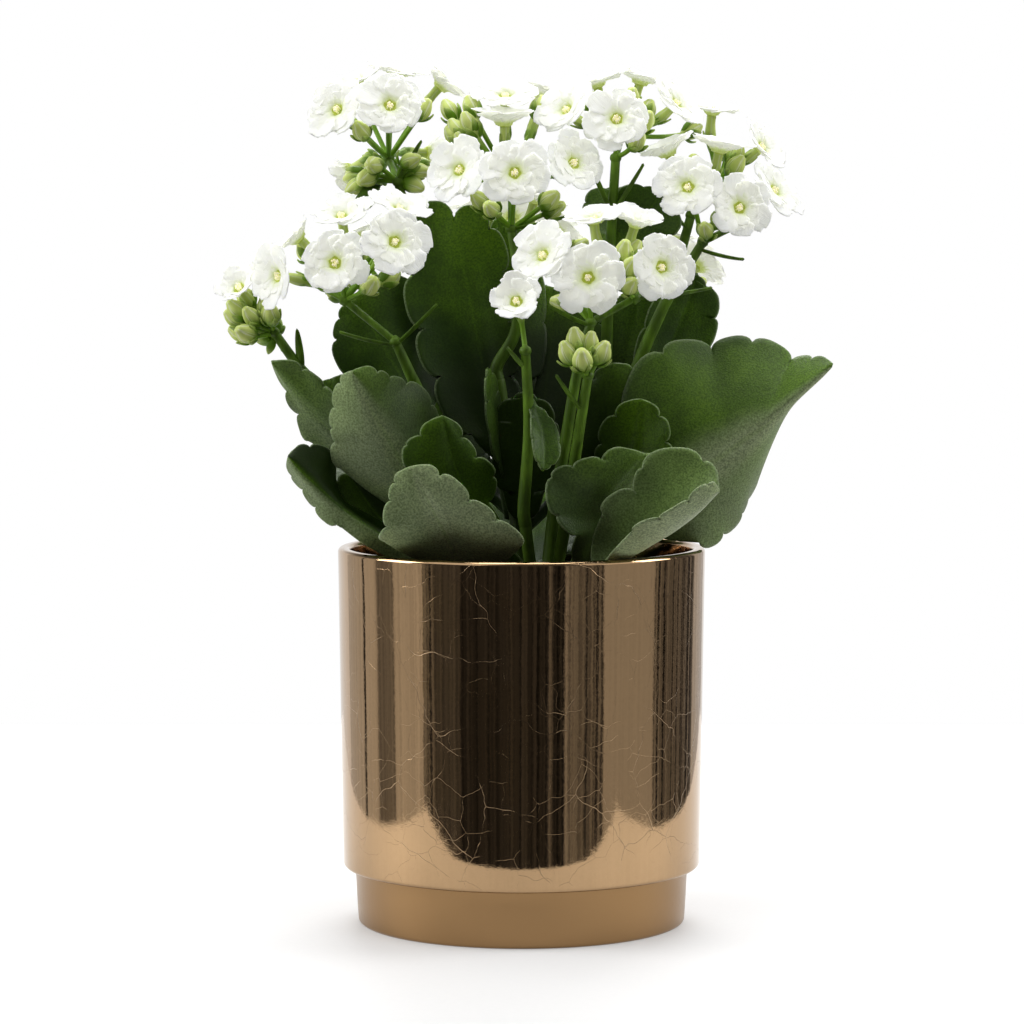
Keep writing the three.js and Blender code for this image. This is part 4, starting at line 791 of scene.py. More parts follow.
def peat_finish(pot):
    """Dark crumbly peat; the growth mark is 1 on a pale crumb."""
    material, paint = finish_of("potting_soil")
    place = paint.place()
    crumbs = paint.noise(place, 2.5 * MM, 6, 0.65)
    fibre = paint.noise(paint.stretched(place, (1, 0.25, 1)), 0.8 * MM, 3)
    base = paint.mix(crumbs, tinted(pot.peat, 0.35), tinted(pot.peat, 1.9))
    base = paint.mix(paint.grown()[2], base, PALE_CRUMB)
    relief = paint.bump(fibre, 0.3 * MM, paint.bump(crumbs, 1.1 * MM))
    paint.surface({"Base Color": base, "Roughness": 0.92, "Normal": relief})
    return material


HEART = (6 * MM, 12 * MM, 145 * MM)  # middle of the dark space between the stems
HEART_SIZE = (46 * MM, 50 * MM, 45 * MM)  # from there to its ends along each axis


def heart_shade(paint):
    """1 deep inside the plant, between the stems just above the pot, and 0 all round it."""
    axes = paint.split(paint.place())
    x, y, z = [(axis - middle) / size for axis, middle, size in zip(axes, HEART, HEART_SIZE)]
    return (x * x + y * y + z * z).step(1.0, 0.3)


def leaf_finish(leaf):
    """A waxy succulent leaf: deep green with fresher patches, a grey bloom that is partly wax and partly
    painted sheen, a thin pale margin, and painted shade on some halves and deep inside the plant.
    """
    material, paint = finish_of("leaf_green")
    place = paint.place()
    along, across, wax_sheen_and_shade = paint.grown()
    patches = paint.noise(place, 16 * MM, 2)
    family = paint.noise(place, 60 * MM, 1)
    grain = paint.noise(place, 0.55 * MM, 2, 0.6)
    fresh = patches.step(0.35, 0.75) * 0.35 + along.step(0.3, 1.0) * 0.35 + family.step(0.4, 0.65) * 0.4
    base = paint.mix(fresh.step(0.05, 1.0), leaf.deep_green, leaf.fresh_green)
    # Pale bloom: partly the leaf's own wax, partly painted sheen.
    base = paint.mix(wax_sheen_and_shade * (patches * 0.5 + 0.6), base, leaf.bloom)
    # Painted shade on halves whose mark is below 0.
    base = paint.mix(wax_sheen_and_shade * -1, base, tinted(leaf.deep_green, 0.3))
    rib = (1 - across).step(0.94, 0.995)
    base = paint.mix(rib * 0.15, base, tinted(leaf.fresh_green, 1.6))
    base = paint.mix(across.step(0.982, 1.0) * 0.5, base, leaf.margin)
    base = paint.mix(grain.step(0.3, 0.7) * 0.55, base, tinted(leaf.deep_green, 0.45))
    # Painted shade deep inside the plant.
    base = paint.mix(heart_shade(paint) * 0.85, base, tinted(leaf.deep_green, 0.25))
    relief = paint.bump(grain, 0.13 * MM, paint.bump(patches, 0.4 * MM))
    paint.surface({
        "Base Color": base,
        "Roughness": 0.36 + grain * 0.2,
        "Normal": relief,
        "IOR": 1.3,
        "Subsurface Weight": 0.06,
        "Subsurface Radius": (1 * MM, 2 * MM, 0.4 * MM),
        "Subsurface Scale": 1.0,
    })
    return material


def stalk_finish(flower):
    """Green stalks that pale towards the flower tubes and buds, with painted shade low down and deep inside
    the plant, and a painted glow on the buds; the growth mark is 1 on a bud.
    """
    material, paint = finish_of("stalk_green")
    place = paint.place()
    along, across, mark = paint.grown()
    flush = paint.noise(paint.stretched(place, (1, 1, 0.3)), 2.5 * MM, 3)
    green = paint.mix(flush.step(0.3, 0.8), tinted(flower.stalk, 0.75), tinted(flower.stalk, 1.7))
    pale = paint.mix(flush.step(0.35, 0.75) * 0.5, flower.bud, tinted(flower.bud, 0.72))
    furrow = across.step(0.16, 0.0)
    lip = across.step(0.3, 0.16) * across.step(0.1, 0.18)  # petal that shows at both sides of a furrow
    pale = paint.mix(furrow * 0.6, pale, tinted(flower.bud, 0.5))
    pale = paint.mix(lip * 0.5, pale, flower.petal)
    bud = mark * along.step(0.45, 0.92)
    base = paint.mix(bud, paint.mix(mark * 0.8, green, tinted(flower.stalk, 2.4)), pale)
    # Painted shade: darker below 150 mm and deep inside the plant.
    low = paint.split(place)[2].step(150 * MM, 116 * MM)
    base = paint.mix(heart_shade(paint) * 0.6 + low * 0.6, base, tinted(flower.stalk, 0.2))
    ribs = paint.noise(paint.stretched(place, (1, 1, 0.08)), 0.5 * MM, 2)
    relief = paint.bump(ribs, 0.08 * MM)
    paint.surface({
        "Base Color": base,
        "Roughness": 0.45 + flush * 0.12,
        "Normal": relief,
        "IOR": 1.36,
        # Painted glow: the buds shine a little by themselves, as if better lit.
        "Emission Color": paint.mix(bud, (0, 0, 0), base),
        "Emission Strength": 0.07,
        "Subsurface Weight": 0.1,
        "Subsurface Radius": (1 * MM, 1.5 * MM, 0.4 * MM),
        "Subsurface Scale": 1.0,
    })
    return material


def petal_finish(flower):
    """White petals, yellow-green at their foot, with fine lengthwise ribs and a painted glow for light that
    shines through them.
    """
    material, paint = finish_of("petal_white")
    along, across, mark = paint.grown()
    spread = paint.node("ShaderNodeCombineXYZ", sockets={"X": across * 14, "Y": along * 1.5 + mark * 9})
    sockets = {"Vector": spread, "Scale": 1.0, "Detail": 2.0}
    ribs = paint.node("ShaderNodeTexNoise", {"noise_dimensions": "2D"}, sockets)
    cloud = paint.noise(paint.place(), 3 * MM, 2)
    inner = mark.step(0.3, 0.7)
    foot = (1 - along).step(0.62, 0.8) * 0.35 + (1 - along).step(0.76, 0.95) * 0.65
    base = paint.mix(cloud * 0.15 + ribs * 0.1, flower.petal, tinted(flower.petal, 0.93))
    base = paint.mix(inner * 0.06, base, flower.throat)
    base = paint.mix(foot * 0.8, base, flower.throat)
    relief = paint.bump(ribs, 0.1 * MM, paint.bump(cloud, 0.2 * MM))
    paint.surface({
        "Base Color": base,
        "Roughness": 0.6,
        "Normal": relief,
        # Painted glow: the petals shine by themselves, for light that passes through them.
        "Emission Color": base,
        "Emission Strength": 0.24,
        "Subsurface Weight": 0.6,
        "Subsurface Radius": (3 * MM, 3 * MM, 2.2 * MM),
        "Subsurface Scale": 1.0,
    })
    return material


POLLEN = (0.95, 0.94, 0.8)


def throat_finish(flower):
    """Yellow-green inside of the tube, with stamens and a painted glow that lightens its shade; the growth
    mark is 1 on a stamen.
    """
    material, paint = finish_of("flower_throat")
    mark = paint.grown()[2]
    speck = paint.noise(paint.place(), 0.5 * MM, 2)
    base = paint.mix(mark, tinted(flower.throat, 0.75), flower.anther)
    base = paint.mix(speck.step(0.4, 0.6) * mark * 0.6, base, POLLEN)
    paint.surface({
        "Base Color": base,
        "Roughness": 0.5,
        "Normal": paint.bump(speck, 0.1 * MM),
        # Painted glow that lightens the shade in the deep throat.
        "Emission Color": base,
        "Emission Strength": 0.3,
    })
    return material


# ---- Mesh making ---------------------------------------------------------------------------------

GROWN = "grown"  # name of the mesh attribute with the growth marks


def unit(vectors):
    """Vectors of the same ways and of length 1."""
    return vectors / np.maximum(np.linalg.norm(vectors, axis=-1, keepdims=True), 1e-12)


def ease(values, low, high):
    """0 up to low, 1 from high on, and smooth between them."""
    t = np.clip((values - low) / (high - low), 0, 1)
    return t * t * (3 - 2 * t)


def metres(point):
    """A point or a list of points of the layout, in metres."""
    return np.array(point, float) * MM


class Shell:
    """Points, faces and growth marks of one mesh while it grows."""

    def __init__(self):
        self.points, self.faces, self.marks, self.slots = [], [], [], []
        self.count = 0

    def add(self, points, faces, marks, slot=0, pose=None):
        """Adds one closed surface. pose is a rotation matrix and a place that it is moved to."""
        points = np.asarray(points, float).reshape(-1, 3)
        if pose is not None:
            points = points @ pose[0].T + pose[1]
        self.points.append(points)
        self.marks.append(np.broadcast_to(np.asarray(marks, float).reshape(-1, 3), points.shape))
        self.faces += [tuple(corner + self.count for corner in face) for face in faces]
        self.slots += [slot] * len(faces)
        self.count += len(points)

    def build(self, name, materials):
        """Makes an object of all that was added."""
        mesh = bpy.data.meshes.new(name)
        mesh.from_pydata(np.concatenate(self.points), [], self.faces)
        mesh.polygons.foreach_set("use_smooth", [True] * len(self.faces))
        mesh.polygons.foreach_set("material_index", self.slots)
        marks = mesh.attributes.new(GROWN, "FLOAT_VECTOR", "POINT")
        marks.data.foreach_set("vector", np.concatenate(self.marks).astype(np.float32).ravel())
        mesh.update()
        piece = bpy.data.objects.new(name, mesh)
        bpy.context.scene.collection.objects.link(piece)
        for material in materials:
            mesh.materials.append(material)
        return piece


def dress(piece, nodes):
    """Makes a piece stand for its nodes of the frame."""
    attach(piece, BODY)
    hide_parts(*nodes)


def grid_faces(rows, columns, closed=False):
    """Quads between a grid's points; closed joins its last column to its first."""
    number = np.arange(rows * columns).reshape(rows, columns)
    if closed:
        number = np.hstack([number, number[:, :1]])
    quads = np.stack([number[:-1, :-1], number[:-1, 1:], number[1:, 1:], number[1:, :-1]], axis=-1)
    return quads.reshape(-1, 4).tolist()


def smooth_path(points, per_span=6):
    """Centripetal curve through the points."""
    points = np.array(points, float)
    points = np.vstack([2 * points[0] - points[1], points, 2 * points[-1] - points[-2]])
    knots = np.concatenate([[0], np.cumsum(np.sqrt(np.linalg.norm(np.diff(points, axis=0), axis=1)))])
    line = []
    for k in range(1, len(points) - 2):
        a, b, c, d = points[k - 1 : k + 3]
        ta, tb, tc, td = knots[k - 1 : k + 3]
        t = np.linspace(tb, tc, per_span, endpoint=False)[:, None]
        ab = ((tb - t) * a + (t - ta) * b) / (tb - ta)
        bc = ((tc - t) * b + (t - tb) * c) / (tc - tb)
        cd = ((td - t) * c + (t - tc) * d) / (td - tc)
        abc = ((tc - t) * ab + (t - ta) * bc) / (tc - ta)
        bcd = ((td - t) * bc + (t - tb) * cd) / (td - tb)
        line.append(((tc - t) * abc + (t - tb) * bcd) / (tc - tb))
    return np.vstack([*line, points[-2:-1]])


def cubic(a, b, c, d, count):
    """A curve from a to d that b and c pull on, as count points."""
    t = np.linspace(0, 1, count)[:, None]
    return (1 - t) ** 3 * a + 3 * t * (1 - t) ** 2 * b + 3 * t * t * (1 - t) * c + t**3 * d


def shares_of(line):
    """How far along a line each of its points lies, from 0 to 1."""
    steps = np.concatenate([[0], np.cumsum(np.linalg.norm(np.diff(line, axis=0), axis=1))])
    return steps / steps[-1]


def frames_along(line):
    """Directions along a line and two across it that don't spin."""
    along = unit(np.gradient(line, axis=0))
    across = np.empty_like(line)
    last = np.array([0.31, 0.95, 0.07])
    for row, direction in enumerate(along):
        last = unit(last - direction * last.dot(direction))
        across[row] = last
    return along, across, np.cross(along, across)


def tube(shell, line, radii, sides=10, mark=0.0, slot=0, flute=(0, 0.0), twist=0.0):
    """A round body along a line with rounded ends. flute is a count of ridges, and their height as a share
    of the radius. They wind round the body by twist radians divided by that count."""
    along, across, other = frames_along(line)
    places = shares_of(line)
    turn = np.linspace(0, 2 * math.pi, sides, endpoint=False)
    ridges, depth = flute
    swell = np.cos(ridges * turn[None] + twist * places[:, None])
    ring = np.cos(turn)[None, :, None] * across[:, None] + np.sin(turn)[None, :, None] * other[:, None]
    body = line[:, None] + ring * (radii[:, None] * (1 + depth * swell))[..., None]
    rings = []
    for end, way in ((0, -1), (-1, 1)):
        cap = []
        for lean in (0.5, 1.1):
            centre = line[end] + way * along[end] * radii[end] * math.sin(lean) * 0.7
            cap.append(centre + ring[end] * radii[end] * math.cos(lean))
        rings.append(cap)
    body = np.concatenate([rings[0][::-1], body, rings[1]])
    places = np.concatenate([[0, 0], places, [1, 1]])[:, None]
    swell = np.concatenate([swell[:1], swell[:1], swell, swell[-1:], swell[-1:]]) / 2 + 0.5
    marks = np.stack([places + swell * 0, swell, swell * 0 + mark], axis=-1)
    rows = len(body)
    faces = grid_faces(rows, sides, closed=True)
    last = (rows - 1) * sides
    faces.append(list(range(sides))[::-1])
    faces.append([last + side for side in range(sides)])
    shell.add(body, faces, marks, slot)


def turned(shell, profile, segments, slot=0, pose=None):
    """A body turned about Z. profile runs counter-clockwise from axis to axis, as radius and height."""
    profile = np.array(profile, float)
    radius, height = profile[1:-1, :1], profile[1:-1, 1:]
    turn = np.linspace(0, 2 * math.pi, segments, endpoint=False)
    axes = (radius * np.cos(turn), radius * np.sin(turn), np.repeat(height, segments, axis=1))
    points = np.stack(axes, axis=-1).reshape(-1, 3)
    faces = grid_faces(len(radius), segments, closed=True)
    count = len(points)
    points = np.vstack([points, [0, 0, profile[0][1]], [0, 0, profile[-1][1]]])
    last = count - segments
    for side in range(segments):
        after = (side + 1) % segments
        faces.append([after, side, count])
        faces.append([last + side, last + after, count + 1])
    shell.add(points, faces, (0, 0, 0), slot, pose)


def arc(centre, radius, start, stop, count=6):
    """Points of an arc in a profile; angles in degrees, 0 outwards and 90 up."""
    angles = np.radians(np.linspace(start, stop, count))
    return [(centre[0] + radius * math.cos(a), centre[1] + radius * math.sin(a)) for a in angles]


# ---- Blades: leaves, bracts, sepals and petals ---------------------------------------------------

MIDRIB_LAG = 0.93  # the midrib's place in a row, as a share of the margin's
BLUNTNESS = 2.6  # 2 makes round lobes, and more makes blunt ones
CRINKLES = ((3, 0.5), (7, 0.5), (13, 0.4), (29, 0.3))  # waves along a margin, and how high they are


def lobe(phase):
    """How far a lobe stands out at a phase from 0 at one of its notches to 1 at the other."""
    return np.sqrt(np.maximum(0, 1 - np.abs(2 * phase - 1) ** BLUNTNESS))


@dataclass
class Outline:
    """The margin of a blade, and how finely it is drawn."""

    spread: float = 0.5  # above 0 the blade is widest beyond its middle
    lobes: float = 0  # scallops on each side
    depth: float = 0  # of the notches, as a share
    wedge: float = 0.3 * math.pi  # part of the margin next to the foot that has no scallops
    petiole: float = 0  # share of the length
    foot: float = 0  # half the width of the petiole or of the blade's foot
    crinkle: float = 0  # uneven reach of the margin, as a share
    point: float = 0  # how far the middle of the tip stands out, as a share
    rows: int = 14  # of a blade without scallops
    columns: int = 4  # on each side of the midrib

    PHASES = (0, 0.03, 0.09, 0.18, 0.3, 0.42, 0.5, 0.58, 0.7, 0.82, 0.91, 0.97)

    def margin(self, rng):
        """Rows from foot to tip: share of the midrib, share at the margin, width there, and foot's width."""
        tip = math.pi - 0.04
        if self.lobes:
            counts = range(math.ceil(self.lobes))
            turns = [(count + phase) / self.lobes for count in counts for phase in self.PHASES]
            lobed = self.wedge + (math.pi - self.wedge) * np.array([turn for turn in turns if turn < 0.985])
            angles = np.concatenate([np.linspace(0.05, self.wedge, 10, endpoint=False), lobed, [tip]])
        else:
            angles = np.linspace(0.12, tip, self.rows)
        phase = (angles - self.wedge) / (math.pi - self.wedge) * self.lobes
        drop = np.where(angles < self.wedge, ease(angles, self.wedge * 0.5, self.wedge), 1 - lobe(phase % 1))
        reach = 1 - self.depth * drop
        reach = reach[:, None] * np.ones(2)
        if self.crinkle:
            calm = np.sin(angles)[:, None] ** 0.4  # less at the foot and the tip
            for waves, height in CRINKLES:
                shift = rng.uniform(0, 2 * math.pi, 2)
                reach = reach + self.crinkle * height * np.sin(waves * angles[:, None] + shift) * calm
        reach = reach + self.point * np.exp(-(((angles - tip) / 0.35) ** 2))[:, None]
        along = (1 - np.cos(angles)) / 2
        width = np.sin(angles) * (1 + (along - 0.5) * self.spread)
        edge = 0.5 + (along - 0.5)[:, None] * reach
        mid = along * (MIDRIB_LAG + (1 - MIDRIB_LAG) * along**4)
        width = width[:, None] * reach
        foot = self.foot * (1 - along) ** 2
        if self.petiole:
            steps = np.linspace(0, self.petiole, 5, endpoint=False)
            scale = 1 - self.petiole
            mid = np.concatenate([steps, self.petiole + mid * scale])
            edge = np.vstack([steps[:, None] * np.ones(2), self.petiole + edge * scale])
            width = np.vstack([np.zeros((len(steps), 2)), width])
            foot = np.concatenate([np.full(len(steps), self.foot), foot])
            along = np.concatenate([np.zeros(len(steps)), along])
        return mid, edge, width, foot, along


@dataclass
class Form:
    """How a blade is bent: degrees for the angles, metres for the lengths, left and right for the pairs."""

    half: tuple  # half the width
    thickness: float  # at the midrib
    rim: float  # thickness at the margin
    fold: tuple = (0, 0)  # how far each half folds up at the midrib
    curl: tuple = (0, 0)  # how far it bends up from there to its margin
    foot_thickness: float = 0.0
    wave: float = 0.0  # height of the ripples towards the margins
    groove: float = 0.0  # depth over the midrib


def ripples(along, columns, rng):
    """Uneven lift of a blade towards its margins."""
    shift = rng.uniform(0, 2 * math.pi, 2)
    long_waves = np.sin(9 * along[:, None] + 2.2 * columns + shift[0])
    short_waves = np.sin(17 * along[:, None] - 3 * columns + shift[1])
    return (long_waves + 0.6 * short_waves) * columns**2 * np.sin(math.pi * along)[:, None] ** 0.5


RIM_REACH = 0.45  # how far a margin bulges, as a share of its thickness
UNDER_DENT = 0.6  # how much of the groove over the midrib shows as a rib below


def skin(shell, sheet, front, share_at, columns, thick, dent, mark, slot, pose=None):
    """Closes a sheet of points into a blade with a top, an underside and a rounded margin."""
    down_rows = np.gradient(sheet, axis=0)
    over_columns = np.gradient(sheet, axis=1)
    normal = unit(np.cross(over_columns, down_rows))
    normal = np.where((normal * front).sum(-1, keepdims=True) < 0, -normal, normal)
    top = sheet + normal * (thick / 2 - dent)[..., None]
    under = sheet - normal * (thick / 2 + dent * UNDER_DENT)[..., None]
    rows, cols = share_at.shape
    count = rows * cols
    number = np.arange(count).reshape(rows, cols)
    ring = np.concatenate([number[0, :-1], number[:-1, -1], number[-1, :0:-1], number[:0:-1, 0]])
    outward = np.zeros_like(sheet)
    outward[:, 0] -= unit(over_columns[:, 0])
    outward[:, -1] += unit(over_columns[:, -1])
    outward[0] -= unit(down_rows[0])
    outward[-1] += unit(down_rows[-1])
    outward = unit(outward).reshape(-1, 3)[ring]
    rim = sheet.reshape(-1, 3)[ring] + outward * thick.reshape(-1)[ring, None] * RIM_REACH
    points = np.vstack([top.reshape(-1, 3), under.reshape(-1, 3), rim])
    quads = grid_faces(rows, cols)
    faces = quads + [[corner + count for corner in quad[::-1]] for quad in quads]
    for k, start in enumerate(ring):
        stop = ring[(k + 1) % len(ring)]
        here, after = 2 * count + k, 2 * count + (k + 1) % len(ring)
        faces.append([stop, start, here, after])
        faces.append([after, here, start + count, stop + count])
    out = np.broadcast_to(np.abs(columns), share_at.shape)
    marks = np.stack([share_at, out, np.broadcast_to(mark, share_at.shape)], axis=-1).reshape(-1, 3)
    shell.add(points, faces, np.vstack([marks, marks, marks[ring]]), slot, pose)


FOOT_SHARE = 0.12  # part of a blade's length over which its foot widens into it
FOLD_SHARE = 0.16  # part of half its width over which it folds up from the midrib
FINE_STEPS = 24  # of half a row, to follow its bend
MIDRIB_WIDTH = 1.1 * MM


def blade(shell, spine, outline, form, rng, mark=0.0, slot=0, pose=None):
    """Adds a closed blade. spine(shares) gives the midrib's points, its directions and the face's."""
    mid, edge, width, foot, along = outline.margin(rng)
    columns = np.linspace(-1, 1, 2 * outline.columns + 1)
    out = np.abs(columns)
    side = (columns > 0).astype(int)
    share_at = mid[:, None] + (edge[:, side] - mid[:, None]) * out
    reach = np.hypot(width * np.array(form.half), foot[:, None])[:, side]
    on_blade = ease(along, 0.0, FOOT_SHARE)[:, None]
    fine = np.linspace(0, 1, FINE_STEPS + 1)
    lateral, lift = [], []
    for fold, curl in zip(form.fold, form.curl):
        angle = np.radians(fold * ease(fine, 0, FOLD_SHARE) + curl * fine)
        angle = angle[None, :] * on_blade
        steps = np.diff(fine, prepend=0)
        lateral.append(np.cumsum(np.cos(angle) * steps, axis=1))
        lift.append(np.cumsum(np.sin(angle) * steps, axis=1))
    step = np.rint(out * FINE_STEPS).astype(int)
    lateral = np.where(side, lateral[1][:, step], lateral[0][:, step])
    lift = np.where(side, lift[1][:, step], lift[0][:, step])
    centre, forward, front = spine(share_at)
    right = np.cross(forward, front) * np.sign(columns)[None, :, None]
    sheet = centre + right * (reach * lateral)[..., None] + front * (reach * lift)[..., None]
    sheet = sheet + front * (form.wave * ripples(along, columns, rng))[..., None]
    thick = np.broadcast_to(form.thickness + (form.rim - form.thickness) * out**1.5, share_at.shape)
    if form.foot_thickness:
        thick = thick + (form.foot_thickness - form.thickness) * (1 - on_blade) * (1 - out**2)
    dent = form.groove * np.exp(-((reach * out / MIDRIB_WIDTH) ** 2)) * on_blade
    skin(shell, sheet, front, share_at, columns, thick, dent, mark, slot, pose)


PETIOLE_SHARE = 0.16  # of a leaf's length
PETIOLE_ROWS = 6
PETIOLE_THICKNESS = 2.6 * MM
LEAF_GROOVE = 0.35 * MM  # depth of the groove over a broad leaf's midrib
LEAST_STEP = 0.03  # least distance of two rows to notches, as a share of the midrib
FLANK_BULGE = 0.06  # as LOBE_BULGE, but for the plain margin from the petiole to the first notch


def midrib_places(midrib, left, right):
    """Where the rows to the notches leave the midrib."""
    shares = np.linspace(PETIOLE_SHARE, 1, 80)
    line = midrib(shares)[0]
    places = [PETIOLE_SHARE]
    for notch, pair in enumerate(zip(left, right)):
        nearest = np.mean([shares[np.argmin(np.linalg.norm(line - point, axis=1))] for point in pair])
        share = PETIOLE_SHARE + (nearest - PETIOLE_SHARE) * MIDRIB_LAG
        places.append(min(max(share, places[-1] + LEAST_STEP), 1 - LEAST_STEP * (len(left) - notch)))
    return [*places, 1 - LEAST_STEP / 2]


def lobed_margin(edge, notches, tip, midrib, rows, crown, rng):
    """One margin from the petiole over its notches to the tip: its points, and how far along each lies."""
    ends = [edge, *notches, tip]
    sections = len(ends) - 1
    points, places = [], []
    phase = np.array(Outline.PHASES)
    # The last lobe reaches out early and then runs down to the tip, unless it is one of twin lobes.
    last_lobe = lobe(phase) if crown > LOBE_BULGE else 0.9 * np.sin(math.pi * phase**0.62)
    for section, (start, stop) in enumerate(zip(ends, ends[1:])):
        chord = stop - start
        inner = midrib((rows[section] + rows[section + 1]) / 2)[0]
        out = (start + stop) / 2 - inner
        out = unit(out - chord * out.dot(chord) / chord.dot(chord))
        if section == 0:
            bulge = FLANK_BULGE * np.sin(math.pi * phase)
        elif section == sections - 1:
            bulge = crown * last_lobe
        else:
            bulge = LOBE_BULGE * rng.uniform(0.85, 1.1) * lobe(phase)
        points.append(start + chord * phase[:, None] + out * (bulge * np.linalg.norm(chord))[:, None])
        places.append((section + phase) / sections)
    return np.vstack([*points, tip]), np.concatenate([*places, [1]])


def bowed(base, bend, tip, shares):
    """Points of the curve from base by bend to tip at shares of it, and its directions there."""
    t = np.asarray(shares, float)[..., None]
    centre = (1 - t) ** 2 * base + 2 * t * (1 - t) * bend + t * t * tip
    return centre, unit((1 - t) * (bend - base) + t * (tip - bend))


def grow_lobed_leaf(shell, spec, settings, rng, slot):
    """A leaf that follows its own margins."""
    base, bend, tip = metres(spec.base), metres(spec.bend), metres(spec.tip)
    left, right = metres(spec.left), metres(spec.right)
    middle = len(left) // 2
    rightward = right[middle] - left[middle]

    def midrib(share):
        return bowed(base, bend, tip, share)

    def petiole_edge(share, side):
        centre, along = midrib(share)
        out = unit(rightward - along * (rightward * along).sum(-1, keepdims=True))
        return centre + out * side * settings.petiole

    rows = midrib_places(midrib, left, right)
    petiole = np.linspace(0, PETIOLE_SHARE, PETIOLE_ROWS, endpoint=False)
    margins = []
    for side, notches in ((-1, left), (1, right)):
        edge = petiole_edge(PETIOLE_SHARE, side)
        line, places = lobed_margin(edge, notches, tip, midrib, rows, spec.crown, rng)
        margins.append(np.vstack([petiole_edge(petiole, side), line[:-1]]))
    places = places[:-1]
    grown = PETIOLE_SHARE + (1 - PETIOLE_SHARE) * places
    share = np.concatenate([petiole, np.interp(places, np.linspace(0, 1, len(rows)), rows)])
    along = np.concatenate([petiole * 0, places])
    centre, forward = midrib(share)
    columns = np.linspace(-1, 1, 29)
    columns = np.sign(columns) * np.abs(columns) ** 0.85  # closer together towards the margins
    out = np.abs(columns)
    reach, looks = [], []
    for side, margin in zip((-1, 1), margins):
        half = margin - centre
        reach.append(half)
        looks.append(np.broadcast_to(unit(np.cross(half, forward).sum(axis=0) * side), half.shape))
    flat = unit(looks[0] + looks[1])
    on_blade = ease(along, 0.0, FOOT_SHARE)[:, None]
    lines = []
    for column, far in zip(columns, out):
        half = reach[int(column > 0)]
        own = looks[int(column > 0)]
        width = np.linalg.norm(half, axis=1, keepdims=True)
        rise = spec.bow * width * math.sin(math.pi * far) * on_blade
        lines.append(centre + half * far + unit(flat * (1 - far) + own * far) * rise)
    sheet = np.stack(lines, axis=1)
    front = np.repeat(flat[:, None], len(columns), axis=1)
    soften(sheet, columns)
    width = np.where(columns > 0, *(np.linalg.norm(half, axis=1)[:, None] for half in reach[::-1]))
    sheet = sheet + front * (0.55 * MM * ripples(along, columns, rng))[..., None]
    thick = settings.thickness + (settings.rim - settings.thickness) * out**1.5
    thick = thick[None] + (PETIOLE_THICKNESS - settings.thickness) * (1 - on_blade) * (1 - out**2)
    dent = LEAF_GROOVE * np.exp(-((width * out / MIDRIB_WIDTH) ** 2)) * on_blade
    share_at = np.broadcast_to(np.concatenate([petiole, grown])[:, None], sheet.shape[:2])
    # Per column: pale bloom and painted sheen, or painted shade below 0.
    wax_sheen_and_shade = np.interp(columns, np.linspace(-0.15, 0.15, len(spec.wax_sheen_and_shade)) * (len(spec.wax_sheen_and_shade) - 1), spec.wax_sheen_and_shade)
    skin(shell, sheet, front, share_at, columns, thick, dent, wax_sheen_and_shade, slot)


CREASE = 4  # columns on each side of the midrib over which its crease is rounded
FOLD_ROUNDS = 16  # of smoothing along the leaf
CREASE_ROUNDS = 6  # of smoothing across the midrib


def soften(sheet, columns):
    """Rounds the crease at the midrib and the folds that run in from the notches, but keeps the margins."""
    inside = 1 - np.abs(columns[None, :, None]) ** 4
    for _ in range(FOLD_ROUNDS):
        even = (sheet[:-2] + sheet[2:]) / 2
        sheet[1:-1] += (even - sheet[1:-1]) * 0.5 * inside
    middle = sheet.shape[1] // 2
    for _ in range(CREASE_ROUNDS):
        near = sheet[:, middle - CREASE : middle + CREASE + 1]
        even = (near[:, :-2] + near[:, 2:]) / 2
        sheet[:, middle - CREASE + 1 : middle + CREASE] = near[:, 1:-1] * 0.5 + even * 0.5


def bent_spine(base, bend, tip, face):
    """Midrib from base by bend to tip, with its upper side towards face."""
    face = unit(np.array(face, float))

    def spine(shares):
        centre, forward = bowed(base, bend, tip, shares)
        front = unit(face - forward * (face * forward).sum(-1, keepdims=True))
        return centre, forward, front

    return spine


NARROW_LEAF = 14  # width in millimetres up to which a leaf is thinner and has a slimmer petiole


def grow_leaf(shell, spec, settings, rng, slot=0):
    """A scalloped leaf with its petiole."""
    if isinstance(spec, LobedLeaf):
        grow_lobed_leaf(shell, spec, settings, rng, slot)
        return
    spine = bent_spine(metres(spec.base), metres(spec.bend), metres(spec.tip), spec.face)
    broad = sum(spec.half) > NARROW_LEAF
    outline = Outline(
        lobes=spec.lobes,
        depth=settings.scallop,
        petiole=PETIOLE_SHARE,
        foot=settings.petiole * (1 if broad else 0.6),
        crinkle=0.012,
        columns=12 if broad else 6,
    )
    form = Form(
        half=(spec.half[0] * MM, spec.half[1] * MM),
        fold=spec.fold,
        thickness=settings.thickness * (1 if broad else 0.7),
        rim=settings.rim * (1 if broad else 0.8),
        foot_thickness=PETIOLE_THICKNESS if broad else 1.6 * MM,
        wave=0.5 * MM if broad else 0.15 * MM,
        groove=LEAF_GROOVE if broad else 0.15 * MM,
    )
    blade(shell, spine, outline, form, rng, slot=slot)


BRACT_HALF = 1.15 * MM
BRACT_SAG = 1.1 * MM


def grow_bract(shell, start, stop, rng):
    """A narrow pointed scale from a stalk."""
    start, stop = metres(start), metres(stop)
    way = stop - start
    side = unit(np.cross(way, [0, 0, 1]) + 1e-9)
    face = np.cross(side, way)
    middle = (start + stop) / 2 - np.array([0, 0, BRACT_SAG])
    outline = Outline(spread=-0.3, foot=0.7 * MM, rows=12, columns=3)
    form = Form(half=(BRACT_HALF,) * 2, fold=(22, 22), thickness=1.0 * MM, rim=0.45 * MM, groove=0.1 * MM)
    blade(shell, bent_spine(start, middle, stop, face), outline, form, rng)


# ---- Flowers -------------------------------------------------------------------------------------

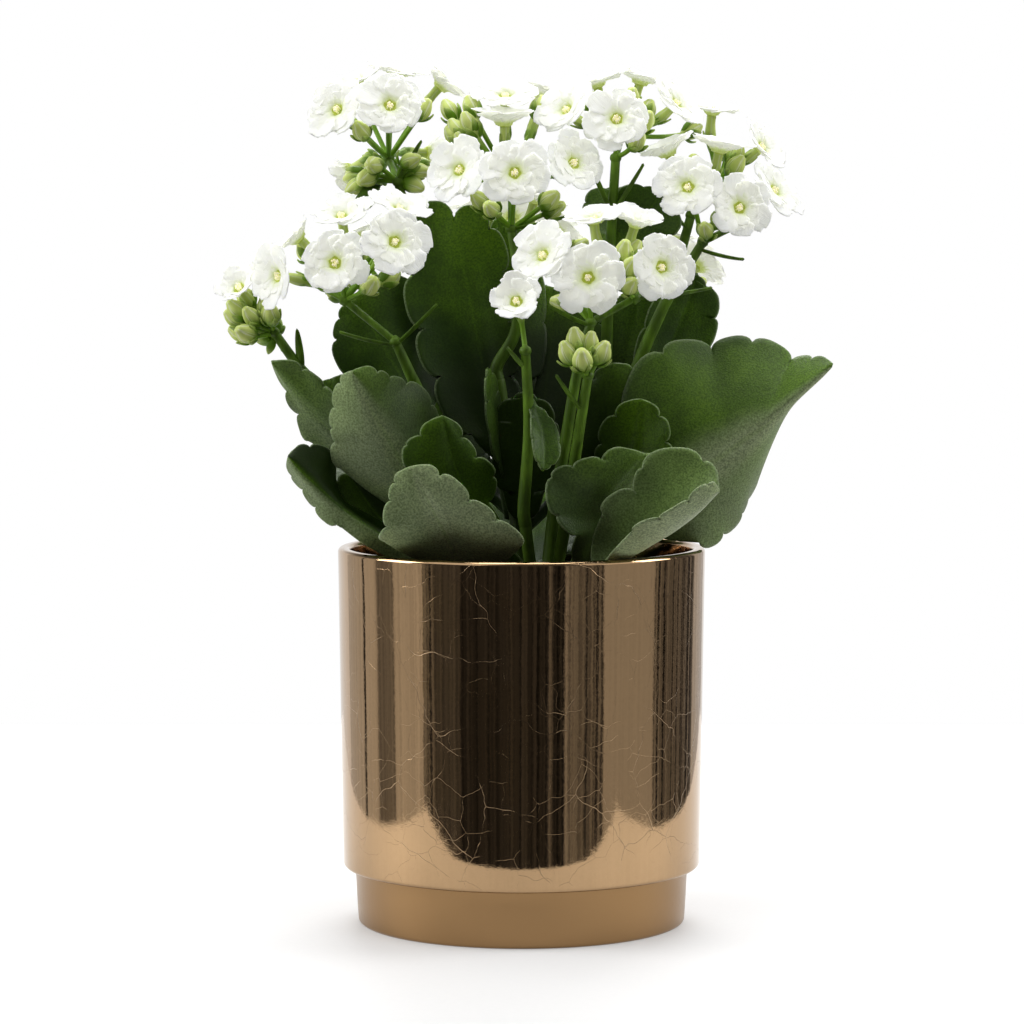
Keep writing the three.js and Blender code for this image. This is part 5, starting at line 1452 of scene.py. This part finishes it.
TO_THE_FRONT = 0.6  # how far a flower of the front heads turns from away from its heart
BACK_HEADS = 40  # millimetres behind the pot's axis, where flowers look away from their heart alone


def look_towards(way):
    """Rotation that turns +Z to way, the shortest way round."""
    way = Vector(way).normalized()
    return np.array(Vector((0, 0, 1)).rotation_difference(way).to_matrix())


def face_of(spec, heart):
    """Away from the heart of its head, and a little to the front unless the head is at the back."""
    if spec.face:
        return unit(np.array(spec.face, float))
    away = unit(np.array(spec.at, float) - np.array(heart, float))
    return unit(away - np.array([0, TO_THE_FRONT if spec.at[1] < BACK_HEADS else 0, 0]))


PETAL_STEPS = 32


def petal_spine(long, turn, rise, start, claw, droop, roll):
    """Midrib of a petal that leaves the throat steeply, flattens to rise and droops at its tip; degrees."""
    shares = np.linspace(0, 1, PETAL_STEPS + 1)
    slope = np.radians(rise + claw * (1 - ease(shares, 0.0, 0.34)) - droop * ease(shares, 0.5, 1.0))
    step = long / PETAL_STEPS
    away = start[0] + np.concatenate([[0], np.cumsum(np.cos(slope[:-1]) * step)])
    height = start[1] + np.concatenate([[0], np.cumsum(np.sin(slope[:-1]) * step)])
    outwards = np.array([math.cos(turn), math.sin(turn), 0])
    up = np.array([0.0, 0.0, 1.0])
    tilt = math.radians(roll)

    def spine(at):
        r, h, a = (np.interp(at, shares, values)[..., None] for values in (away, height, slope))
        centre = outwards * r + up * h
        forward = outwards * np.cos(a) + up * np.sin(a)
        front = up * np.cos(a) - outwards * np.sin(a)
        right = np.cross(forward, front)
        return centre, forward, front * math.cos(tilt) + right * math.sin(tilt)

    return spine


# Layers of a double flower from the outside in: count of petals, their length and half their width as shares
# of the flower's radius, how much steeper they stand in degrees, and how high their feet are in millimetres.
PETAL_LAYERS = (
    (6, 1.0, 0.37, 0, -0.3),
    (6, 0.8, 0.34, 3, 0.0),
    (5, 0.54, 0.3, 9, 0.3),
)
FLAT_SLOPE = -5  # steepness of the petals of a flat flower, in degrees
OPENING = 70  # by how many degrees an upright flower's petals are steeper
STEEPEST = 78
CLAW_SLOPE = 72  # steepness with which every petal leaves the throat
THROAT_REACH = 1.75 * MM  # from the middle of a flower to the feet of its petals
THROAT_PROFILE = MM * np.array(
    [(0, -0.75), (1.45, -0.7), (2.0, 0.0), (2.05, 0.7), (1.8, 0.75), (1.6, 0.1), (0.8, -0.3), (0, -0.35)]
)
HALF_OPEN = 0.7  # up to this, the two outer layers have one petal less
STAMENS = 7
STAMEN_RADII = MM * np.array([0.2, 0.2, 0.42, 0.34])


def grow_flower(shell, spec, heart, settings, rng):
    """A double flower: three layers of broad crinkled petals round a green-yellow throat with stamens."""
    radius = spec.wide / 2 * MM
    pose = (look_towards(face_of(spec, heart)), metres(spec.at))
    rise = OPENING * (1 - spec.open) + FLAT_SLOPE
    start_turn = rng.uniform(0, 2 * math.pi)
    for layer, (count, long, half, steeper, foot) in enumerate(PETAL_LAYERS):
        if spec.open <= HALF_OPEN and layer < 2:
            count -= 1
        slope = min(rise + steeper, STEEPEST)
        for petal in range(count):
            turn = start_turn + 2 * math.pi * (petal + layer * 0.5) / count + rng.normal(0, 0.05)
            reach = long * radius * rng.uniform(0.96, 1.16) - THROAT_REACH
            spine = petal_spine(
                reach, turn, slope + rng.normal(0, 2), (THROAT_REACH, foot * MM),
                claw=max(0, CLAW_SLOPE - slope), droop=rng.uniform(2, 14) * spec.open, roll=rng.normal(4, 2),
            )
            half_width = half * radius * rng.uniform(0.94, 1.08)
            outline = Outline(spread=0.9, foot=1.1 * MM, crinkle=0.11, point=0.14, rows=28, columns=4)
            form = Form(
                half=(half_width, half_width),
                fold=(rng.uniform(0, 6),) * 2,
                curl=(rng.uniform(-8, 8), rng.uniform(-8, 8)),
                thickness=settings.petal_thickness,
                rim=settings.petal_thickness * 0.8,
                wave=radius * 0.022,
            )
            blade(shell, spine, outline, form, rng, mark=(layer + rng.uniform(0, 0.9)) / 3, pose=pose)
    turned(shell, THROAT_PROFILE, 14, slot=1, pose=pose)
    for stamen in range(STAMENS):
        turn = start_turn + stamen * math.pi / 3 + rng.normal(0, 0.2)
        away = 0.15 if stamen == 0 else rng.uniform(0.7, 1.1)
        foot = np.array([away * math.cos(turn), away * math.sin(turn), -0.3]) * MM
        top = foot * (0.8, 0.8, 1) + np.array([0, 0, rng.uniform(1.5, 2.3)]) * MM
        line = np.array([foot, foot * 0.5 + top * 0.5, foot * 0.2 + top * 0.8, top])
        line = line @ pose[0].T + pose[1]
        tube(shell, line, STAMEN_RADII, sides=6, mark=1.0, slot=1)


def nearest_fork(forks, point):
    """The fork of a stalk that lies nearest to a point."""
    return min((metres(fork) for fork in forks), key=lambda fork: np.linalg.norm(fork - point))


SEPALS = 4
# Growth marks, for how much stalk_finish pales a part.
SEPAL_MARK = 0.5
TUBE_MARK = 0.8
BUD_MARK = 1.0


def grow_sepals(shell, line, at, radius, long, rng, half=0.8):
    """Narrow sepals that clasp a tube or a bud from the point at a share of its line."""
    along, across, other = frames_along(line)
    row = int(np.argmin(np.abs(shares_of(line) - at)))
    start = rng.uniform(0, 2 * math.pi)
    for sepal in range(SEPALS):
        turn = start + sepal * 2 * math.pi / SEPALS
        out = across[row] * math.cos(turn) + other[row] * math.sin(turn)
        foot = line[row] + out * radius * 0.4
        bend = line[row] + out * (radius + 1.0 * MM) + along[row] * long * 0.35
        tip = line[row] + out * (radius + rng.uniform(0.4, 0.9) * MM) + along[row] * long
        outline = Outline(spread=-0.5, foot=0.6 * MM, rows=9, columns=2)
        form = Form(half=(half * MM,) * 2, fold=(18, 18), thickness=0.5 * MM, rim=0.3 * MM)
        blade(shell, bent_spine(foot, bend, tip, -out), outline, form, rng, mark=SEPAL_MARK)


TUBE_LENGTH = 8.5 * MM
THROAT_DROP = 1.0 * MM  # from the throat down to the end of the tube
TUBE_SHAPE = ((0.6, 1.2 * MM), (0.76, 1.75 * MM), (0.93, 1.35 * MM), (1, 1.45 * MM))  # share and radius


def grow_flower_tube(shell, spec, heart, forks, settings, rng):
    """Pedicel, calyx and tube of an open flower, up to just under its petals."""
    face = face_of(spec, heart)
    top = metres(spec.at) - face * THROAT_DROP
    foot = top - face * TUBE_LENGTH
    fork = nearest_fork(forks, foot)
    line = cubic(fork, foot * 0.6 + fork * 0.4, foot, top, 22)
    shares, radii = zip((0.5, settings.pedicel_radius), *TUBE_SHAPE)
    radii = np.interp(shares_of(line), shares, radii)
    tube(shell, line, radii, sides=10, mark=TUBE_MARK, flute=(4, 0.05))
    grow_sepals(shell, line, 0.58, 1.1 * MM, 5.2 * MM, rng)


def grow_bud(shell, tip, heart, forks, settings, rng):
    """A pedicel with a closed bud: furled petals with five spiral furrows, and sepals round their foot."""
    end = metres(tip)
    fork = nearest_fork(forks, end)
    away = unit(unit(end - metres(heart)) * 0.75 + np.array([0, 0, 0.25]))
    foot = end - away * settings.bud_length
    line = cubic(fork, foot * 0.5 + fork * 0.5, foot, end, 30)
    total = np.linalg.norm(np.diff(line, axis=0), axis=1).sum()
    start = max(0.15, 1 - settings.bud_length / total)
    places = shares_of(line)
    grown = np.clip((places - start) / (1 - start), 0, 1)
    egg = np.sin(math.pi * grown**0.9 * 0.88) ** 0.62
    swell = settings.bud_radius * rng.uniform(0.88, 1.08) * egg
    radii = np.maximum(settings.pedicel_radius * (1 - ease(grown, 0.5, 0.9) * 0.5), swell)
    tube(shell, line, radii, sides=20, mark=BUD_MARK, flute=(5, 0.07), twist=2.4)
    grow_sepals(shell, line, start + (1 - start) * 0.04, settings.bud_radius, 4.2 * MM, rng, half=1.25)


# ---- Operators: one for each piece or group of like pieces, and one for the stage ----------------

POT_SEGMENTS = 192  # round the glazed pot
ROUND_SEGMENTS = 96  # round the growing pot and the peat
EDGE = 0.6 * MM  # small rounding of the step over the foot
FLOOR_ROUNDING = 3 * MM


class KALANCHOE_OT_cover_pot(bpy.types.Operator):
    """Turn the glazed cover pot with its recessed foot"""

    bl_idname = "kalanchoe.cover_pot"
    bl_label = "Cover Pot"

    def execute(self, context):
        pot = context.scene.kalanchoe_pot
        rim, top = POT_HIGH.x, POT_HIGH.z
        lower = rim - pot.body_taper
        foot = lower - pot.foot_step
        base = foot - pot.foot_taper
        inside = rim - pot.wall
        curve = pot.rounding
        step = pot.foot_height
        rise = top - step
        profile = [(0, 0), (base * 0.5, 0)]
        profile += arc((base - curve, curve), curve, -90, 0)
        profile += [(base + pot.foot_taper * t, step * t) for t in (0.25, 0.5, 0.75)]
        profile += arc((foot + EDGE, step - EDGE), EDGE, 180, 90, 4)
        profile += arc((lower - curve, step + curve), curve, -80, 0)
        profile += [(lower + pot.body_taper * t, step + rise * t) for t in (0.1, 0.3, 0.5, 0.7, 0.9)]
        profile += arc((rim - curve, top - curve), curve, 0, 90)
        profile += arc((inside + curve, top - curve), curve, 90, 180)
        profile += [(inside - pot.body_taper * (1 - t), step + rise * t) for t in (0.8, 0.5, 0.2)]
        corner = (base - pot.wall - 2 * MM, pot.floor_height + FLOOR_ROUNDING)
        profile += arc(corner, FLOOR_ROUNDING, 0, -90, 5)
        profile += [(base * 0.4, pot.floor_height), (0, pot.floor_height)]
        shell = Shell()
        turned(shell, profile, POT_SEGMENTS)
        dress(shell.build("glazed_pot", [glaze_finish(pot)]), ["cover_pot"])
        return {"FINISHED"}


class KALANCHOE_OT_growing_pot(bpy.types.Operator):
    """Mould the thin growing pot with its collar and drain holes"""

    bl_idname = "kalanchoe.growing_pot"
    bl_label = "Growing Pot"

    wall: length("Wall", "Thickness of the plastic", 1)
    collar: length("Collar", "Height of the stiffer band at the rim", 8)
    ledge: length("Ledge", "How far the collar stands out from the wall", 1.6)
    foot_radius: length("Foot radius", "Radius of the pot at its floor", 37)
    holes: IntProperty(name="Drain holes", description="Number of holes in the floor", default=5, min=0)
    hole_radius: length("Hole radius", "Radius of a drain hole", 4)
    hole_circle: length("Hole circle", "Radius of the circle that the holes lie on", 24)

    def execute(self, context):
        pot = context.scene.kalanchoe_pot
        low, high, rim = GROWER_LOW.z, GROWER_HIGH.z, GROWER_HIGH.x
        wall = self.wall
        foot = self.foot_radius
        neck = rim - self.ledge
        under = high - self.collar
        profile = [(0, low), (foot * 0.5, low)] + arc((foot - wall, low + wall), wall, -90, 0, 4)
        profile += [(foot + (neck - foot) * t, low + (under - low) * t) for t in (0.25, 0.5, 0.75, 1)]
        profile += [(rim - wall / 5, under), (rim, under + wall / 5), (rim, high - wall)]
        profile += arc((rim - wall / 2, high - wall / 2), wall / 2, 0, 180, 5)
        profile += [(rim - wall, under + wall), (neck - wall, under)]
        profile += [(foot - wall, low + wall), (foot * 0.5, low + wall), (0, low + wall)]
        shell = Shell()
        turned(shell, profile, ROUND_SEGMENTS)
        piece = shell.build("plastic_pot", [plastic_finish(pot)])
        for hole in range(self.holes):
            turn = 2 * math.pi * hole / self.holes
            drill = Shell()
            radius, deep = self.hole_radius, 2 * wall
            turned(drill, [(0, -deep), (radius, -deep), (radius, deep), (0, deep)], 24)
            cutter = drill.build("drill", [])
            cutter.location = (self.hole_circle * math.cos(turn), self.hole_circle * math.sin(turn), low)
            cut = piece.modifiers.new("hole", "BOOLEAN")
            cut.operation = "DIFFERENCE"
            cut.object = cutter
            cut.solver = "EXACT"
            context.view_layer.objects.active = piece
            bpy.ops.object.modifier_apply(modifier=cut.name)
            bpy.data.objects.remove(cutter)
        dress(piece, ["growing_pot"])
        return {"FINISHED"}


# An octahedron with its edges halved, for the crumbs.
CRUMB_CORNERS = (
    (1, 0, 0), (-1, 0, 0), (0, 1, 0), (0, -1, 0), (0, 0, 1), (0, 0, -1),
    (1, 1, 0), (-1, 1, 0), (-1, -1, 0), (1, -1, 0), (1, 0, 1), (0, 1, 1),
    (-1, 0, 1), (0, -1, 1), (1, 0, -1), (0, 1, -1), (-1, 0, -1), (0, -1, -1),
)
CRUMB_TOP, CRUMB_BOTTOM = 4, 5  # their places in the list of corners
# For each quarter: two corners of the equator, the corner between them, and the ones above and below each.
CRUMB_QUARTERS = (
    (0, 2, 6, 10, 11, 14, 15),
    (2, 1, 7, 11, 12, 15, 16),
    (1, 3, 8, 12, 13, 16, 17),
    (3, 0, 9, 13, 10, 17, 14),
)


def crumb_faces():
    """Triangles of a crumb, quarter by quarter, the upper ones first."""
    faces = []
    for a, b, middle, above_a, above_b, under_a, under_b in CRUMB_QUARTERS:
        faces += [(a, middle, above_a), (middle, b, above_b)]
        faces += [(above_a, above_b, CRUMB_TOP), (middle, above_b, above_a)]
        faces += [(middle, a, under_a), (b, middle, under_b)]
        faces += [(under_b, under_a, CRUMB_BOTTOM), (middle, under_a, under_b)]
    return faces


class KALANCHOE_OT_peat(bpy.types.Operator):
    """Fill the growing pot with crumbly peat"""

    bl_idname = "kalanchoe.peat"
    bl_label = "Peat"

    crumbs: IntProperty(name="Crumbs", description="Loose lumps on the surface", default=320, min=0)
    dome: length("Dome", "How much higher the peat is in its middle", 1.8)
    gap: length("Gap", "Between the peat and the pot at the surface", 0.4)
    pale: share("Pale crumbs", "Share of the crumbs that are white grains", 0.06)

    def execute(self, context):
        pot = context.scene.kalanchoe_pot
        rng = np.random.default_rng(SEED)
        bottom, top = SOIL_LOW.z, SOIL_HIGH.z
        rim = SOIL_HIGH.x - self.gap
        shell = Shell()
        self.fill(shell, bottom, top, rim, rng)
        ball = unit(np.array(CRUMB_CORNERS, float))
        faces = crumb_faces()
        for _ in range(self.crumbs):
            turn = rng.uniform(0, 2 * math.pi)
            away = rim * 0.94 * math.sqrt(rng.uniform(0, 1))
            size = rng.uniform(0.6, 1.7) * MM
            lump = ball * rng.uniform(0.6, 1.15, (len(ball), 1)) * size * rng.uniform(0.7, 1, 3)
            height = top - self.dome * (away / rim) ** 2 - size * 0.85
            mark = (0, 0, 1.0 if rng.uniform() < self.pale else 0.0)
            place = np.array([away * math.cos(turn), away * math.sin(turn), height])
            shell.add(lump + place, faces, mark)
        dress(shell.build("peat", [peat_finish(pot)]), ["soil"])
        return {"FINISHED"}

    def fill(self, shell, bottom, top, rim, rng):
        """The body of the peat, with a low uneven dome."""
        slope = top - self.dome - bottom
        side = [(rim * (0.78 + 0.22 * t), bottom + slope * t) for t in (0, 0.25, 0.5, 0.75)]
        surface = [(rim * share, top - self.dome * share * share) for share in np.linspace(1, 0.02, 34)]
        turned(shell, [(0, bottom), *side, *surface, (0, top)], ROUND_SEGMENTS)
        body = shell.points[0]
        upper = np.arange(len(body)) // ROUND_SEGMENTS >= len(side)
        upper[-2] = False  # the middle of the underside
        ripple = sum(
            np.sin(body[:, 0] * waves + shift) * np.sin(body[:, 1] * waves * 1.3 + other_shift)
            for waves, shift, other_shift in rng.uniform((180, 0, 0), (900, 6, 6), (14, 3))
        )
        edge = 1 - ease(np.hypot(body[:, 0], body[:, 1]), rim * 0.93, rim)
        body[:, 2] += np.where(upper, (ripple * 0.16 - 0.9) * MM * edge, 0)


class KALANCHOE_OT_leafy_stems(bpy.types.Operator):
    """Grow the stems with their fleshy scalloped leaves"""

    bl_idname = "kalanchoe.leafy_stems"
    bl_label = "Leafy Stems"

    foot_radius: length("Foot radius", "Radius of a stem in the peat", 3.1)
    top_radius: length("Top radius", "Radius of a stem at its top", 2.1)
    branch_radius: length("Branch radius", "Radius of a side branch", 1.8)

    def execute(self, context):
        leaf = context.scene.kalanchoe_leaf
        waxy = leaf_finish(leaf)
        bark = stalk_finish(context.scene.kalanchoe_flower)
        for number, (name, spec) in enumerate(LEAFY_STEMS.items()):
            rng = np.random.default_rng(SEED + number)
            shell = Shell()
            line = smooth_path([metres(point) for point in spec.path])
            radii = self.foot_radius + (self.top_radius - self.foot_radius) * shares_of(line)
            tube(shell, line, radii, sides=14, slot=1)
            for branch in spec.branches:
                line = smooth_path([metres(point) for point in branch])
                tube(shell, line, np.full(len(line), self.branch_radius), sides=12, slot=1)
            for one in spec.leaves:
                grow_leaf(shell, one, leaf, rng)
            dress(shell.build(f"leaves_{name}", [waxy, bark]), [f"leafy_stem_{name}"])
        return {"FINISHED"}


def end_ways():
    """The direction of every stem and branch at its end, by that end's place."""
    ways = {}
    for spec in LEAFY_STEMS.values():
        for path in (spec.path, *spec.branches):
            line = smooth_path(path)
            ways[tuple(path[-1])] = unit(line[-1] - line[-2])
    return ways


class KALANCHOE_OT_flower_stalks(bpy.types.Operator):
    """Grow the flower stalks with their pedicels, flower tubes, buds and bracts"""

    bl_idname = "kalanchoe.flower_stalks"
    bl_label = "Flower Stalks"

    arm_radius: length("Arm radius", "Radius of the twig between two forks", 1.05)
    knuckle_radius: length("Knuckle radius", "Radius of the swelling at a fork", 2.0)

    def execute(self, context):
        flower = context.scene.kalanchoe_flower
        leaf = context.scene.kalanchoe_leaf
        bark, waxy = stalk_finish(flower), leaf_finish(leaf)
        ways = end_ways()
        for number, (name, spec) in enumerate(FLOWER_STALKS.items()):
            rng = np.random.default_rng(SEED * 10 + number)
            shell = Shell()
            foot = metres(spec.path[0])
            way = ways[tuple(spec.path[0])]
            start = [foot + way * 0.3 * MM, foot + way * 3.8 * MM]  # goes on straight from its stem
            line = smooth_path([*start, *(metres(point) for point in [*spec.path[1:], spec.forks[0]])])
            radii = flower.stalk_radius * (1.08 - 0.3 * shares_of(line))
            tube(shell, line, radii, sides=14, flute=(5, 0.025))
            for fork in spec.forks:
                self.knuckle(shell, metres(fork))
            for fork in spec.forks[1:]:
                arm = smooth_path([metres(spec.forks[0]), metres(fork)])
                tube(shell, arm, np.full(len(arm), self.arm_radius), sides=10)
            for bloom in spec.blooms:
                grow_flower_tube(shell, bloom, spec.heart, spec.forks, flower, rng)
            for tip in spec.buds:
                grow_bud(shell, tip, spec.heart, spec.forks, flower, rng)
            for start, stop in spec.bracts:
                grow_bract(shell, start, stop, rng)
            for one in spec.leaves:
                grow_leaf(shell, one, leaf, rng, slot=1)
            dress(shell.build(f"stalk_{name}", [bark, waxy]), [f"flower_stalk_{name}"])
        return {"FINISHED"}

    def knuckle(self, shell, centre):
        """The swelling at a fork."""
        rise = np.linspace(-1, 1, 7)[:, None]
        line = centre + np.array([0, 0, 0.8]) * self.knuckle_radius * rise
        tube(shell, line, self.knuckle_radius * 0.9 * np.sqrt(1 - 0.9 * rise[:, 0] ** 2), sides=12)


class KALANCHOE_OT_flowers(bpy.types.Operator):
    """Open the double flowers of every head"""

    bl_idname = "kalanchoe.flowers"
    bl_label = "Flowers"

    def execute(self, context):
        flower = context.scene.kalanchoe_flower
        petal, throat = petal_finish(flower), throat_finish(flower)
        for number, (name, spec) in enumerate(FLOWER_STALKS.items()):
            if not spec.blooms:
                continue
            rng = np.random.default_rng(SEED * 100 + number)
            shell = Shell()
            for bloom in spec.blooms:
                grow_flower(shell, bloom, spec.heart, flower, rng)
            nodes = [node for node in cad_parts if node.rpartition("_")[0] == f"blooms_{name}"]
            dress(shell.build(f"flowers_{name}", [petal, throat]), nodes)
        return {"FINISHED"}


# ---- Stage ---------------------------------------------------------------------------------------

# What the glossy pot sees around it: [from, to] in degrees from the front, positive to the right, with the
# brightness of that part of the room and how streaky it is.
ROOM = (
    (-181, -141, 0.95, 0.0),  # white backdrop beyond the left edge
    (-141, -119, 0.62, 0.1),
    (-117, -104, 0.64, 0.1),  # left window, in three panes
    (-88, -65, 0.62, 0.15),
    (-104, -88, 0.22, 0.3),  # its mullion
    (-65, -57, 0.16, 0.9),  # curtain
    (-57, -40, 0.09, 0.4),
    (-40, -14, 0.035, 0.6),  # dark of the studio
    (-14, 9, 0.045, 0.7),
    (9, 25, 0.03, 0.9),
    (16, 18.5, 0.14, 0.4),
    (26, 34, 0.26, 0.5),  # blinds
    (34, 52, 0.15, 0.9),
    (52, 91, 0.47, 0.05),  # right window
    (91, 137, 0.15, 1.0),  # shelves
    (137, 160, 0.6, 0.2),
    (160, 181, 0.95, 0.0),  # white backdrop beyond the right edge
)
PANE_EDGE = 1.3  # degrees over which a part of the room ends
ABOVE = (0.1, 0.1, 0.1)  # the room over the windows
FILL = (0.1, 0.102, 0.104)  # light from all round

# Square lamps that all look at the plant: name, place, side in metres, and power in watts.
LAMPS = (
    ("key", (-0.8, -0.75, 1.15), 1.1, 4),
    ("fill", (0.95, -0.55, 0.8), 0.9, 2),
    ("back", (0.1, 0.9, 1.0), 0.9, 11),
    ("top", (0, 0, 1.3), 0.8, 10),
    ("left", (-1.1, -0.05, 0.62), 0.6, 9),
    ("right", (1.1, 0.1, 0.75), 0.6, 8),
)
LIT_POINT = Vector((0, 0, 130 * MM))


class KALANCHOE_OT_stage(bpy.types.Operator):
    """Set the pale table, the soft studio light and the camera"""

    bl_idname = "kalanchoe.stage"
    bl_label = "Stage"

    def execute(self, context):
        stage = context.scene.kalanchoe_stage
        self.table(stage)
        self.surroundings(context.scene)
        for name, place, size, power in LAMPS:
            self.softbox(name, place, size, power)
        self.camera(context.scene, stage)
        return {"FINISHED"}

    def table(self, stage):
        """A pale sheet that glows a little, so that it runs into the white behind it."""
        half, front, back = stage.table_half, -stage.table_front, stage.table_back
        mesh = bpy.data.meshes.new("table")
        corners = [(-half, front, 0), (half, front, 0), (half, back, 0), (-half, back, 0)]
        mesh.from_pydata(corners, [], [(0, 1, 2, 3)])
        table = bpy.data.objects.new("table", mesh)
        bpy.context.scene.collection.objects.link(table)
        material, paint = finish_of("table_white")
        grain = paint.noise(paint.place(), 2 * MM, 2)
        base = paint.mix(grain, (0.54, 0.54, 0.54), (0.57, 0.57, 0.57))
        paint.surface({
            "Base Color": base,
            "Roughness": 0.6,
            "Emission Color": (1, 1, 1, 1),
            "Emission Strength": 0.27,
        })
        mesh.materials.append(material)

    def surroundings(self, scene):
        """White behind the plant, an even glow for light, and a dim room for the pot to mirror."""
        world = bpy.data.worlds.new("studio")
        scene.world = world
        paint = Paint(world)
        x, y, z = paint.split(paint.node("ShaderNodeTexCoord", output="Generated"))
        bearing = x.math("ARCTAN2", y * -1) * (180 / math.pi)
        sockets = {"W": bearing, "Scale": 0.55, "Detail": 3.0}
        threads = paint.node("ShaderNodeTexNoise", {"noise_dimensions": "1D"}, sockets)
        threads = threads.step(0.36, 0.66) * 2 - 1
        level = 0.0
        for start, stop, brightness, streaky in ROOM:
            pane = bearing.step(start, start + PANE_EDGE) * bearing.step(stop + PANE_EDGE, stop)
            level = pane * (threads * (streaky * brightness) + brightness) + level
        room = paint.mix(level, (0, 0, 0), (1, 1, 1))
        room = paint.mix(z.step(0.15, 0.5), room, ABOVE)
        seen = paint.mix(paint.node("ShaderNodeLightPath", output="Is Glossy Ray"), FILL, room)
        seen = paint.mix(paint.node("ShaderNodeLightPath", output="Is Camera Ray"), seen, (1, 1, 1))
        light = paint.node("ShaderNodeBackground", sockets={"Color": seen, "Strength": 1.0})
        paint.node("ShaderNodeOutputWorld", sockets={"Surface": light})

    def softbox(self, name, place, size, power):
        """A square lamp that looks at the plant."""
        light = bpy.data.lights.new(name, "AREA")
        light.shape = "SQUARE"
        light.size = size
        light.energy = power
        lamp = bpy.data.objects.new(name, light)
        lamp.location = place
        lamp.rotation_euler = (LIT_POINT - Vector(place)).to_track_quat("-Z", "Y").to_euler()
        bpy.context.scene.collection.objects.link(lamp)

    def camera(self, scene, stage):
        """The camera before the plant, and plain colours on the picture."""
        data = bpy.data.cameras.new("camera")
        data.lens = stage.focal_length
        data.sensor_width = 36
        data.clip_start = 0.05
        camera = bpy.data.objects.new("camera", data)
        camera.location = (-stage.camera_side, -stage.camera_distance, stage.camera_height)
        camera.rotation_euler = (math.pi / 2 - stage.camera_pitch, 0, 0)
        scene.collection.objects.link(camera)
        scene.camera = camera
        scene.view_settings.view_transform = "Standard"


# ---- Panel and registration ----------------------------------------------------------------------

SETTINGS = {
    "kalanchoe_pot": PotSettings,
    "kalanchoe_leaf": LeafSettings,
    "kalanchoe_flower": FlowerSettings,
    "kalanchoe_stage": StageSettings,
}
OPERATORS = (
    KALANCHOE_OT_cover_pot,
    KALANCHOE_OT_growing_pot,
    KALANCHOE_OT_peat,
    KALANCHOE_OT_leafy_stems,
    KALANCHOE_OT_flower_stalks,
    KALANCHOE_OT_flowers,
    KALANCHOE_OT_stage,
)


class KALANCHOE_PT_panel(bpy.types.Panel):
    """Lists the pieces of the plant and their settings"""

    bl_label = "Potted Kalanchoe"
    bl_space_type = "VIEW_3D"
    bl_region_type = "UI"
    bl_category = "Kalanchoe"

    def draw(self, context):
        for operator in OPERATORS:
            self.layout.operator(operator.bl_idname)
        for name, group in SETTINGS.items():
            box = self.layout.box()
            for setting in group.__annotations__:
                box.prop(getattr(context.scene, name), setting)


def register():
    """Adds the classes, and the settings of the scene."""
    for group in (*SETTINGS.values(), *OPERATORS, KALANCHOE_PT_panel):
        bpy.utils.register_class(group)
    for name, group in SETTINGS.items():
        setattr(bpy.types.Scene, name, PointerProperty(type=group))


def unregister():
    """Takes off what register added."""
    for name in SETTINGS:
        delattr(bpy.types.Scene, name)
    for group in reversed((*SETTINGS.values(), *OPERATORS, KALANCHOE_PT_panel)):
        bpy.utils.unregister_class(group)


def main():
    """Builds every piece and the stage."""
    register()
    bpy.ops.kalanchoe.cover_pot()
    bpy.ops.kalanchoe.growing_pot()
    bpy.ops.kalanchoe.peat()
    bpy.ops.kalanchoe.leafy_stems()
    bpy.ops.kalanchoe.flower_stalks()
    bpy.ops.kalanchoe.flowers()
    bpy.ops.kalanchoe.stage()


if __name__ == "__main__":
    main()
